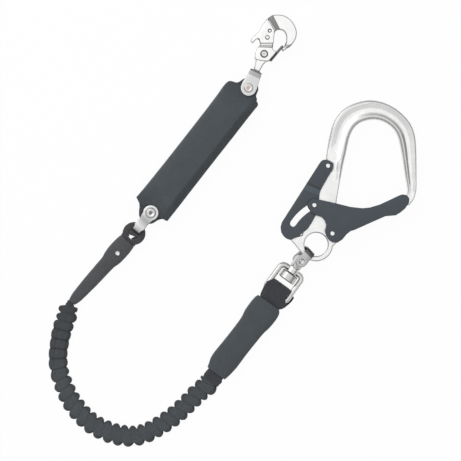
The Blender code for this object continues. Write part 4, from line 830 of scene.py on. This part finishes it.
def make_pack_loop(side, sign):
    """Three plies of webbing round a pin's bush, their tail inside the cover."""
    node = side + "_pack_loop"
    pin_y = sign * PIN_SPREAD / 2
    legs_y = pin_y - sign * PACK_LOOP_LEGS
    turn = (200, -20) if sign > 0 else (160, 380)
    ring = arc((PACK_LOOP_SHIFT, pin_y), (PACK_LOOP_IN + PACK_LOOP_OUT) / 2, *turn, 36)
    path = [(ring[0][0] + 1, legs_y), *ring, (ring[-1][0] - 1, legs_y)]
    loop = band(side + "_loop_plies", path, 4.1, PACK_LOOP_OUT - PACK_LOOP_IN - 0.4, PACK)
    ends = even_rows(*((y, TAIL_HALF_W, 4, 0) for y in sorted((legs_y, sign * PACK_TAIL_TO))))
    sewn = pad(side + "_sewn_tail", ends, PACK, 40, 6, 5)
    neck = pad(side + "_neck", NECKS[side], PACK, 56, 5, 6)
    cut(neck, pin_hole(NECK_EYE_R, pin_y))
    stand_in(node, loop, PACK_WEBBING)
    for piece in (sewn, neck):
        add_to(node, piece, PACK_WEBBING)


TEAR_LAYERS = 7
TEAR_HALF_LENGTH = 62
TEAR_PITCH = 2
# A frame whose plane is its carrier's Y and Z
ON_EDGE = Matrix(((0, 0, 1), (1, 0, 0), (0, 1, 0))).to_4x4()


def make_tear_webbing():
    """The tear webbing, folded to and fro in flat layers."""
    path = []
    for k in range(TEAR_LAYERS):
        z = (k - (TEAR_LAYERS - 1) / 2) * TEAR_PITCH
        way = 1 if k % 2 == 0 else -1
        path += [(share * way * TEAR_HALF_LENGTH, z) for share in (-1, -0.5, 0, 0.5)]
        if k < TEAR_LAYERS - 1:
            fold = arc((TEAR_HALF_LENGTH, z + TEAR_PITCH / 2), TEAR_PITCH / 2, -90, 90, 5)
            path += [(y * way, up) for y, up in fold]
        else:
            path.append((way * TEAR_HALF_LENGTH, z))
    section = [(-t, x) for x, t in pillow(-20, 17, 0.85, 24, 5)]
    stand_in("tear_webbing", sweep("folded_webbing", path, section, PACK @ ON_EDGE), WEBBING)


make_cover()
make_pack_loop("upper", 1)
make_pack_loop("lower", -1)
make_tear_webbing()


# Webbing eye and its guard

GUARD_STATIONS = even_rows(
    (-12.5, 10.5, 6.7, -0.7), (-13.1, 11.1, 7.2, -0.8), (-15, 11.6, 7.3, -1), (-24, 12.5, 7, -1.8),
    (-36, 12.4, 6.4, -3), (-44, 11.4, 5.9, -4.2), (-50, 10, 5.7, -4.9), (-64, 9.5, 5.3, -5.6),
    (-82, 9, 5, -5.9), (-100, 8, 4.7, -6.2), (-110, 7.2, 4.5, -6.4), (-116.5, 5.8, 4.3, -6.6),
    (-119.5, 4.6, 4.1, -6.8),
)
EYE_TAIL = even_rows(
    (-8, 7.6, 3.9, -0.4), (-9.4, 11, 4.1, -0.4), (-11.2, 11.5, 4.2, -0.5), (-12.3, 10.8, 4.2, -0.6),
    (-12.9, 8.4, 4.3, -0.7), (-16, 7.4, 4.5, -1), (-24, 8.6, 4.4, -2.2), (-36, 8.6, 4, -3.5),
    (-56, 6.6, 3, -5.6),
)
EYE_R, EYE_HALF_W, EYE_THICK, EYE_Z = 10.65, 4.4, 8, -0.4
# The lining of the shackle's bow and its lip, dark webbing that also stands in for the shade in the eye's
# hole: name, radius, half thickness and height
LININGS = (("bow_lining", 6.3, 4.2, 0), ("bow_lining_lip", 7.7, 0.35, -5.5))
LINING_GAP = (
    (-2.4, 2.6, 3.3, 9), (-4, -0.9, 2.8, 9), (-5.4, -4.2, 2.3, 9), (-6.4, -3, 1.8, 9),
    (-9, 0.2, 1.2, 9),
)


def guard_warp(x, y, z, angle):
    dent = bumps(x, y, (0.25, 0.018, 3), (0.12, 0.005, 8))
    return x + 0.15 * MM * rough_at((0, y, 0), 0.010, 1), y, z + dent * MM * sin(angle)


def make_linings():
    for name, radius, half, z in LININGS:
        levels = [0.98 * radius * sin(radians(a)) for a in range(90, -91, -9)]
        disc = even_rows(*((y, sqrt(radius ** 2 - y * y), half, z) for y in levels))
        lining = pad(name, disc, RING, 40, 4, 5)
        cut(lining, pad("gap", LINING_GAP, RING, 24, 4, 5))
        add_to("lower_shackle", lining, EYE_WEBBING)


def make_eye_and_guard():
    guard = pad("webbing_guard", GUARD_STATIONS, RING, 80, 8, 2.8, floor=-PACK_Z, warp=guard_warp)
    hollow(guard, GUARD_STATIONS, RING, 40, 2.8, -PACK_Z)
    stand_in("guard_sleeve", guard, GUARD)
    path = arc((0, 0), EYE_R, -70, 250, 48)
    eye = band("eye_plies", path, EYE_HALF_W, EYE_THICK, RING @ moved(z=EYE_Z))
    stand_in("webbing_eye", eye, EYE_WEBBING)
    make_linings()
    add_to("webbing_eye", pad("eye_sewn_tail", EYE_TAIL, RING, 48, 6, 3.6), EYE_WEBBING)


make_eye_and_guard()


# Collar, sleeve and the loop that holds the swivel frame

SLEEVE_STATIONS = (
    (0, -16.6, 16.8, 6.8, 8.4), (-4, -18.2, 19.6, 7.3, 8.1), (-12, -19, 20.8, 7.5, 7.7),
    (-25, -18.9, 20.2, 7.3, 7.3), (-36, -17.1, 18.2, 7.1, 7.1), (-50, -17, 17.3, 6.9, 6.9),
    (-70, -17.7, 16.4, 6.7, 6.7), (-90, -18.8, 16.2, 6.7, 6.7), (-100, -18.5, 15.3, 6.6, 6.6),
    (-107, -16.4, 14.2, 6.4, 6.4), (-113, -14.8, 12.8, 6, 6),
)
COLLAR_STATIONS = (
    (-96, -11.6, 9.6, 3.6, 6), (-114.5, -12.4, 10.6, 3.8, 5.6), (-118.5, -13.2, 11.8, 4.6, 4.7),
    (-COLLAR_END, -12.4, 11, 4.3, 4.3), (-COLLAR_END - 1.6, -11.8, 10.4, 4, 4.1),
)


def sleeve_warp(x, y, z, angle):
    dent = bumps(x, y, (0.30, 0.022, 6), (0.12, 0.006, 2))
    pull = 0.35 * sin(y / 0.0042 + 2.5 * rough_at((x, y, 0), 0.02)) * max(0, 1 - abs(y) / 0.03)
    return x, y, z + (dent + pull) * MM * sin(angle)


def collar_warp(x, y, z, angle):
    ribs = 0.18 * sin(x / 0.00055)
    return x + 0.2 * MM * sin(y / 0.0012), y, z + ribs * MM * sin(angle)


def make_sleeve():
    sleeve = pad("cover_sleeve", SLEEVE_STATIONS, SLEEVE, 88, 8, 2.8, floor=0, warp=sleeve_warp)
    hollow(sleeve, SLEEVE_STATIONS, SLEEVE, 44, 2.8, 0)
    stand_in("label_sleeve", sleeve, COVER)
    collar = pad("collar_band", COLLAR_STATIONS, SLEEVE, 72, 8, 3.4, floor=0, warp=collar_warp)
    stand_in("webbing_collar", collar, DARK_WEBBING)


# The loop from its under layer round the frame's bar to its over layer: y, height, left and right edge
LOOP_PATH = (
    (-46, -4.6, -12.6, 12.6), (-37, -5.2, -13.2, 14), (-33, -5.4, -13.4, 16),
    (-29, -5.5, -13.4, 20), (-24, -5.6, -13.4, 23.2), (-18, -5.6, -13.4, 25),
    (-12, -5.6, -13.3, 25.4), (-8.6, -5.5, -13.2, 24.2), (-6, -5, -13.1, 15),
    (-4.6, -3.4, -13, 12.4), (-4.2, 0, -13, 12.4), (-4.4, 3.4, -13.2, 12.5),
    (-5, 4.9, -14.4, 12.6), (-6.6, 5.8, -16.6, 12.6), (-9.4, 6.1, -19.6, 12.6),
    (-11.4, 6.1, -20.9, 12.7), (-14, 6.1, -21, 12.9), (-17, 6, -20.8, 13.4),
    (-19.6, 6, -20.5, 15), (-21.6, 6, -20.3, 17.6), (-24, 5.9, -19.2, 19.4),
    (-27, 5.8, -17.6, 18.6), (-30, 5.7, -15.6, 17), (-33, 5.6, -13.8, 15.4),
    (-37, 5.4, -13, 14), (-46, 4.8, -12.6, 12.6),
)
LOOP_LAYER = 2.2
LOOP_RIM = 1.6
LOOP_TO_MOUTH = 32.9
UNROLL_FROM, UNROLL_OVER = 21, 12
MOUTH_Z, MOUTH_SQUEEZE = 8.4, 0.46
LOOP_BLEND = ((0, -32), (0, -24))
LOOP_TAIL = even_rows((-3, 12.4, 3.6, 8.2), (-14, 12.4, 4.2, 7.7), (-60, 11.6, 3.8, 6.9))


def loop_point(x, y, z):
    """A point of the loop: in the frame's rolled plane at the bar, flat and drawn together at the mouth."""
    at_bar = SWIVEL @ (Vector((x, y, z)) * MM)
    at_mouth = SLEEVE @ (Vector((x, y + LOOP_TO_MOUTH, MOUTH_Z + MOUTH_SQUEEZE * z)) * MM)
    share = eased(ramp(-y, UNROLL_FROM, UNROLL_OVER))
    point = at_bar.lerp(at_mouth, share)
    crease = bumps(x * MM, y * MM, (0.5, 0.011, 4), (0.2, 0.004, 9))
    point.z = max(point.z + crease * share * MM, 0.1 * MM)
    return point


def make_hook_loop():
    """Webbing round the frame's bar, spread over one leg. Both layers run into the sleeve."""
    path = smooth(LOOP_PATH, 4)
    rings, shade = [], []
    middles = with_headings([Vector(row[:2]) for row in path])
    for (y, z, left, right), (_, heading) in zip(path, middles):
        ring, tones = [], []
        for x, t in pillow(left, right, LOOP_LAYER / 2, 48, 5):
            lift = bumps(x * MM, y * MM, (0.25, 0.009, 2)) * (z > 0)
            ring.append(loop_point(x, y - heading.y * t, z + heading.x * t + lift))
            tones.append(0.82 if min(x - left, right - x) < LOOP_RIM else 1)
        rings.append(ring)
        shade.append(tones)
    loop = skin("loop_band", rings, shade=shade)
    stretch_in("hook_loop", loop, DARK_WEBBING, "swivel_frame", SWIVEL, *LOOP_BLEND)
    add_to("hook_loop", pad("loop_tail", LOOP_TAIL, SLEEVE, 48, 6, 3.6), DARK_WEBBING)


make_sleeve()
make_hook_loop()


# Turned pieces and the swivel's wire frame

def rivet_profile(reach, shank_r, head_r, head_h, dish, groove):
    """Half of a rivet's outline, from the middle of its head out and down to its shank."""
    top = reach + head_h
    return [
        (0.02, top - dish), (0.30 * head_r, top - dish * 0.95), (0.50 * head_r, top - dish * 0.45),
        (0.62 * head_r, top - 0.02), (0.68 * head_r, top - 0.02 - groove),
        (0.80 * head_r, top - 0.04 - groove), (0.86 * head_r, top - 0.12 * head_h),
        (0.94 * head_r, top - 0.38 * head_h), (head_r, reach + 0.30 * head_h), (head_r, reach),
        (shank_r, reach),
    ]


def make_rivet(node, carrier, at, reach, shank_r, head_r, head_h, dish=0, groove=0, bowl=0, ring=0,
               look=BRIGHT):
    """A rivet with two heads, each its reach away from the middle, with a dish and a ring-shaped groove.

    bowl and ring are the loss of light in its dish and in its outer ring."""
    upper = rivet_profile(reach, shank_r, head_r, head_h, dish, groove)
    profile = upper + [(r, -z) for r, z in reversed(upper)]
    dark = [bowl if r < 0.4 * head_r else 0 if r < 0.64 * head_r else ring for r, z in profile]
    stand_in(node, lathe("turned_" + node, profile, carrier @ moved(*at), dark), look)


# Node, frame, place in it unless at its middle, then the numbers of make_rivet in their order
RIVETS = (
    ("gate_stop_rivet", HOOK, (-19.7, 46.2), 9.1, 2.1, 2.9, 0.9),
    ("gate_pivot_rivet", HOOK, (14.4, 20.3), 9.1, 2.4, 2.9, 0.9),
    ("lever_pivot_rivet", HOOK, (-20.6, 99.4), 7.7, 2.4, 2.9, 0.9),
    ("snap_gate_rivet", SNAP, (0.1, 23.4), 7.3, 2.4, 5, 0.9, 0.3, 0.3, 0.25, 0.72),
    ("snap_lock_rivet", SNAP, (-4.8, 44.3), 7.3, 1.8, 2.9, 0.9, 0, 0.2, 0, 0.65),
    ("upper_pin", UPPER, (), 8.7, 3.4, 5.8, 1.3, 0.7, 0, 0.35, 0.12, WARM_STEEL),
    ("lower_pin", LOWER, (), 9.2, 3.4, 6.9, 1.3, 0.9, 0.2, 0.75, 0.40),
    ("guard_rivet", RING, (1.6, -32.7, 8 - PACK_Z), 7.1, 2, 3.3, 0.8, 0.3, 0.2, 0.1, 0.35),
    ("link_rivet", LINK, (), 9.6, 2.6, 3.6, 1, 0.4, 0.2, 0.1, 0.30),
)
FRAME_HALF_W, FRAME_TOP, FRAME_FOOT = 17, 18.4, -20.6
CORNER_R, WIRE_R, WIRE_STEPS = 6, 3.7, 32
# Painted shade makes the left leg of the frame darker than the rest
LEFT_LEG, LEG_LOSS, WIRE_LOSS = -4, 0.14, 0.04
STUD_BORE_R = 4.8
BOSS_R, BOSS_HALF, BOSS_EDGE = 7, 4, 0.5
NUT_R, NUT_HIGH, NUT_EDGE, NUT_PLAY = 11.1, 11, 1.2, 0.3


def round_stud(y):
    """A frame for pieces that are turned about the stud's axis."""
    return SWIVEL @ moved(y=y) @ Matrix.Rotation(-pi / 2, 4, "X")


def make_swivel_frame():
    """The round wire frame and the boss that the stud turns in."""
    right, top, foot = FRAME_HALF_W - CORNER_R, FRAME_TOP - CORNER_R, FRAME_FOOT + CORNER_R
    path = []
    for x, y, start in ((right, top, 90), (right, foot, 0), (-right, foot, -90), (-right, top, 180)):
        path += arc((x, y), CORNER_R, start, start - 90, 14)
    losses = [[LEG_LOSS if x < LEFT_LEG else WIRE_LOSS] * WIRE_STEPS for x, y in path]
    section = arc((0, 0), WIRE_R, 0, 360, WIRE_STEPS)[:-1]
    stand_in("swivel_frame", sweep("bent_wire", path, section, SWIVEL, True, losses), STEEL)
    inner, rim = BOSS_R - BOSS_EDGE, BOSS_HALF - BOSS_EDGE
    profile = [(STUD_BORE_R, BOSS_HALF), (inner, BOSS_HALF), (BOSS_R, rim), (BOSS_R, -rim),
               (inner, -BOSS_HALF), (STUD_BORE_R, -BOSS_HALF)]
    add_to("swivel_frame", lathe("frame_boss", profile, round_stud(FRAME_TOP)), STEEL)


def make_barrel_nut():
    """The barrel under the boss, with painted shade on its edges, which are darker than its side."""
    inner, bend = NUT_R - NUT_EDGE, 0.35 * NUT_EDGE
    profile = [(STUD_BORE_R, NUT_HIGH), (inner, NUT_HIGH), (NUT_R - bend, NUT_HIGH - bend),
               (NUT_R, NUT_HIGH - NUT_EDGE), (NUT_R, NUT_HIGH - 1.6 * NUT_EDGE), (NUT_R, 1.2 * NUT_EDGE),
               (NUT_R, NUT_EDGE), (NUT_R - bend, bend), (inner, 0), (STUD_BORE_R, 0)]
    dark = [0.8, 0.8, 0.75, 0.6, 0, 0, 0.35, 0.5, 0.6, 0.6]
    place = round_stud(FRAME_TOP - BOSS_HALF - NUT_PLAY - NUT_HIGH)
    stand_in("swivel_nut", lathe("barrel", profile, place, dark), NUT_STEEL)


# Shade on the hardware: each function gives the loss of light of a face at x, y, z whose normal is up

RAMP_STRIP = (((-30, 77.6), (9.5, 50.2)), ((-30, 90), (9.5, 57.8)))
SEAM_STRIP = (((-8.7, 28.2), (6.6, 35.2)), ((-10, 32), (5.6, 39.1)))
SEAM_LOSS = 0.45
BAR_LINE = ((9, 19.4), (16, 43.8))
DIMPLE_AT, DIMPLE_R = (-5.6, 53.3), 2.4
LINK_BOW_AT = 11.6
UPPER_BEND_AT = 19.6
UPPER_BAND_AT = 16.4
LOWER_BOW_AT = -29.6
JOGGLE_LOW, JOGGLE_HIGH = 60.5, 67


def beside(line, x, y):
    """How far a point lies to the left of a line through two points."""
    (ax, ay), (bx, by) = line
    return ((bx - ax) * (y - ay) - (by - ay) * (x - ax)) / hypot(bx - ax, by - ay)


def within(strip, x, y):
    """Whether a point lies between the two lines of a strip."""
    return beside(strip[0], x, y) > 0 > beside(strip[1], x, y)


def seam_loss(x, y):
    """The strip between the snap's lever and its gate is in shade."""
    return SEAM_LOSS if within(SEAM_STRIP, x, y) else 0


def snap_body_dark(x, y, z, up):
    """Painted shade on the forged ramp and in the recess between lever and gate."""
    return 0.74 if within(RAMP_STRIP, x, y) and 0.2 < abs(up.z) < 0.996 else seam_loss(x, y)


def snap_gate_dark(x, y, z, up):
    """Painted shade on the closing bar, which lies in shadow edge-on, and on the seam's strip of sheet."""
    return 0.80 if beside(BAR_LINE, x, y) < 0 else seam_loss(x, y)


def snap_lever_dark(x, y, z, up):
    """Painted shade on the flank of the dimple and on the seam's strip of sheet."""
    in_dimple = hypot(x - DIMPLE_AT[0], y - DIMPLE_AT[1]) < DIMPLE_R
    return 0.6 if in_dimple and abs(up.z) < 0.98 else seam_loss(x, y)


def upper_shackle_dark(x, y, z, up):
    """Painted shade over the bend across the top of the strap, most of all at its corners; the rest of the
    strap is a little darker.
    """
    if y > UPPER_BAND_AT:
        return 0.44 + 0.22 * (y > UPPER_BEND_AT and abs(x) > 6.6)
    return 0.10


def lower_shackle_dark(x, y, z, up):
    """Painted shade along the middle of the strap, none just before the webbing's eye, and deep painted shade
    inside it.
    """
    return 0.80 if y < LOWER_BOW_AT else 0.42 * bell(y, -12, 6.5) + 0.55 * ramp(-y, 22, 7.5)


def link_dark(x, y, z, up):
    """The bow of the link strap sits in the shade of the hook's eye."""
    return 0.80 if y > LINK_BOW_AT else 0.28


def bow_dark(x, y, z, up):
    """Painted shade on the flanks of the forged channels, less where the outer channel ends."""
    ending = ramp(y, 116, 14) if x < -10 else 1
    return 0.22 * ending if 0.25 < abs(up.z) < 0.985 else 0


def lever_dark(x, y, z, up):
    """Painted shade makes the joggle of the folded lever a dark line, and a painted highlight makes the sheet
    below it lighter.
    """
    if 66 < y < 72 and 0.5 < abs(up.z) < 0.995:
        return 0.40
    return -0.40 if JOGGLE_LOW < y < JOGGLE_HIGH and abs(up.z) > 0.9 else 0


# Edges that stay sharp: each function is true of the points at their ends

SNAP_TIPS = ((-14.4, 67.2, 1.4), (0.2, 56.9, 1.4), (18.3, 39.1, 1.2))
NECK_TO = 2
SHEET_INSIDE = 5.7
STUD_FOOT_TO = 28


def spine_end(x, y, z):
    """The step where the flat spine ends in the bow, the lever's seat, and both rims where the bow starts."""
    step = y > 104 and 3.3 < abs(z) < 4.1
    seat = (93 < y < 104 and x < -13 and abs(z) < 4.2) or (96 < y < 114 and x < -15)
    rim = -6 < x < 10 and (84 < y < 109 or (55 < y <= 84 and abs(z) < 4.3))
    return step or seat or rim


def snap_neck(x, y, z):
    """The neck over the shank, the ends of the crown's step and the very tip of the nose."""
    return y < NECK_TO or any(hypot(x - at_x, y - at_y) < reach for at_x, at_y, reach in SNAP_TIPS)


def sheet_inside(x, y, z):
    """The inner faces of the folded sheet, apart from the closing bar."""
    return abs(z) < SHEET_INSIDE and beside(BAR_LINE, x, y) > 0


def stud_foot(x, y, z):
    """Where the round foot meets the flat head."""
    return y < STUD_FOOT_TO


# Hardware

def straight(*levels):
    """Lines straight across a node at these y."""
    return tuple(((-9, y), (9, y)) for y in levels)


SHADE_STEPS = [-6 - 2 * k for k in range(12)]


def make_forgings():
    finer("hook_body", ALUMINIUM, 0.6, 32, 3, HOOK, dark=bow_dark, keep=spine_end)
    finer("hook_gate", PAINT, 0.45)
    finer("safety_lever", PAINT, 0.35, carrier=HOOK, cuts=straight(JOGGLE_LOW, JOGGLE_HIGH), dark=lever_dark)
    finer("snap_body", POLISHED, 0.45, 30, 3, SNAP, SEAM_STRIP, snap_body_dark, snap_neck)
    finer("snap_gate", OUTLINED, 0.6, 30, 2, SNAP, (BAR_LINE, *SEAM_STRIP), snap_gate_dark, sheet_inside)
    finer("snap_lock_lever", OUTLINED, 0.65, 30, 2, SNAP, SEAM_STRIP, snap_lever_dark)
    finer("upper_shackle", SHEET_STEEL, 0.4, carrier=UPPER, cuts=straight(UPPER_BEND_AT, UPPER_BAND_AT),
          dark=upper_shackle_dark)
    finer("lower_shackle", SHEET_STEEL, 0.4, carrier=LOWER, cuts=straight(*SHADE_STEPS, LOWER_BOW_AT),
          dark=lower_shackle_dark)
    finer("swivel_stud", STUD_STEEL, 0.35, carrier=SWIVEL, keep=stud_foot)
    finer("link_strap", SHEET_STEEL, 0.4, carrier=LINK, cuts=straight(LINK_BOW_AT), dark=link_dark)


def make_springs():
    sprung("gate_spring", "hook_gate", HOOK, (20, 23.5), (27.4, 27.7), SPRING)
    sprung("lever_spring", "safety_lever", HOOK, (-18.2, 75), (-34, 75), DARK_SPRING)
    sprung("snap_gate_spring", "snap_gate", SNAP, (4.8, 26), (8.3, 28), SPRING)
    sprung("snap_lock_spring", "snap_lock", SNAP, (-4.6, 38), (-12.2, 38), SPRING)


make_forgings()
for row in RIVETS:
    make_rivet(*row)
make_swivel_frame()
make_barrel_nut()
for bare in ("upper_bush", "lower_bush", "link_bush", "snap_swivel_nut"):
    wear(frame["nodes"][bare], BRIGHT)
make_springs()


# Floor, world and lamps

FLOOR_HALF, FLOOR_Z = 4, -0.2
WHITE = (1, 1, 1, 1)
FLOOR_WHITE = (0.95, 0.95, 0.95, 1)
GLOW_SHARE = 0.95
# Height from straight down to straight up, and the light that comes from there
SKY_STOPS = ((0, 0.14), (0.25, 0.16), (0.50, 0.42), (0.72, 0.92), (0.86, 1))


def make_floor():
    """A pale matt floor for the light, white for the camera and in reflections."""
    bm = bmesh.new()
    bmesh.ops.create_grid(bm, x_segments=1, y_segments=1, size=FLOOR_HALF, matrix=moved(z=FLOOR_Z))
    floor = to_object(bm, "floor")
    material = bpy.data.materials.new("pale_floor")
    material.use_nodes = True
    material.node_tree.nodes.clear()
    nodes = Nodes(material.node_tree)
    ray = nodes.add("LightPath").outputs
    seen = nodes.math("MAXIMUM", ray["Is Camera Ray"], ray["Is Glossy Ray"])
    seen = nodes.math("MAXIMUM", seen, ray["Is Transmission Ray"])
    share = nodes.math("MULTIPLY", seen, GLOW_SHARE)
    plain = nodes.add("BsdfDiffuse", {0: FLOOR_WHITE}).outputs[0]
    glow = nodes.add("Emission", {0: WHITE}).outputs[0]
    blend = nodes.add("MixShader", {0: share, 1: plain, 2: glow}).outputs[0]
    nodes.add("OutputMaterial", {"Surface": blend})
    wear(floor, material)


def make_world():
    """White for the camera; for light and reflections a wide white ceiling, darker toward the horizon."""
    world = bpy.data.worlds.new("studio")
    bpy.context.scene.world = world
    world.use_nodes = True
    world.node_tree.nodes.clear()
    nodes = Nodes(world.node_tree)
    height = nodes.add("SeparateXYZ", {0: nodes.add("TexCoord").outputs["Generated"]}).outputs["Z"]
    fade = nodes.add("ValToRGB", {0: height})
    stops = fade.color_ramp.elements
    while len(stops) < len(SKY_STOPS):
        stops.new(0.5)
    for stop, (at, level) in zip(stops, SKY_STOPS):
        stop.position = at
        stop.color = (level, level, level * 1.005, 1)
    light = nodes.add("Background", {0: fade.outputs[0]}).outputs[0]
    plain = nodes.add("Background", {0: WHITE}).outputs[0]
    seen = nodes.add("LightPath").outputs["Is Camera Ray"]
    blend = nodes.add("MixShader", {0: seen, 1: light, 2: plain}).outputs[0]
    nodes.add("OutputWorld", {"Surface": blend})


def make_lamp(name, at, size, power):
    data = bpy.data.lights.new(name, "AREA")
    data.shape = "DISK"
    data.size = size
    data.energy = power
    lamp = bpy.data.objects.new(name, data)
    lamp.location = at
    lamp.rotation_euler = (-Vector(at)).to_track_quat("-Z", "Y").to_euler()
    bpy.context.scene.collection.objects.link(lamp)


make_floor()
make_world()
make_lamp("key", at=(-1.5, 1.5, 1.5), size=2.4, power=22)
bpy.context.scene.view_settings.view_transform = "Standard"
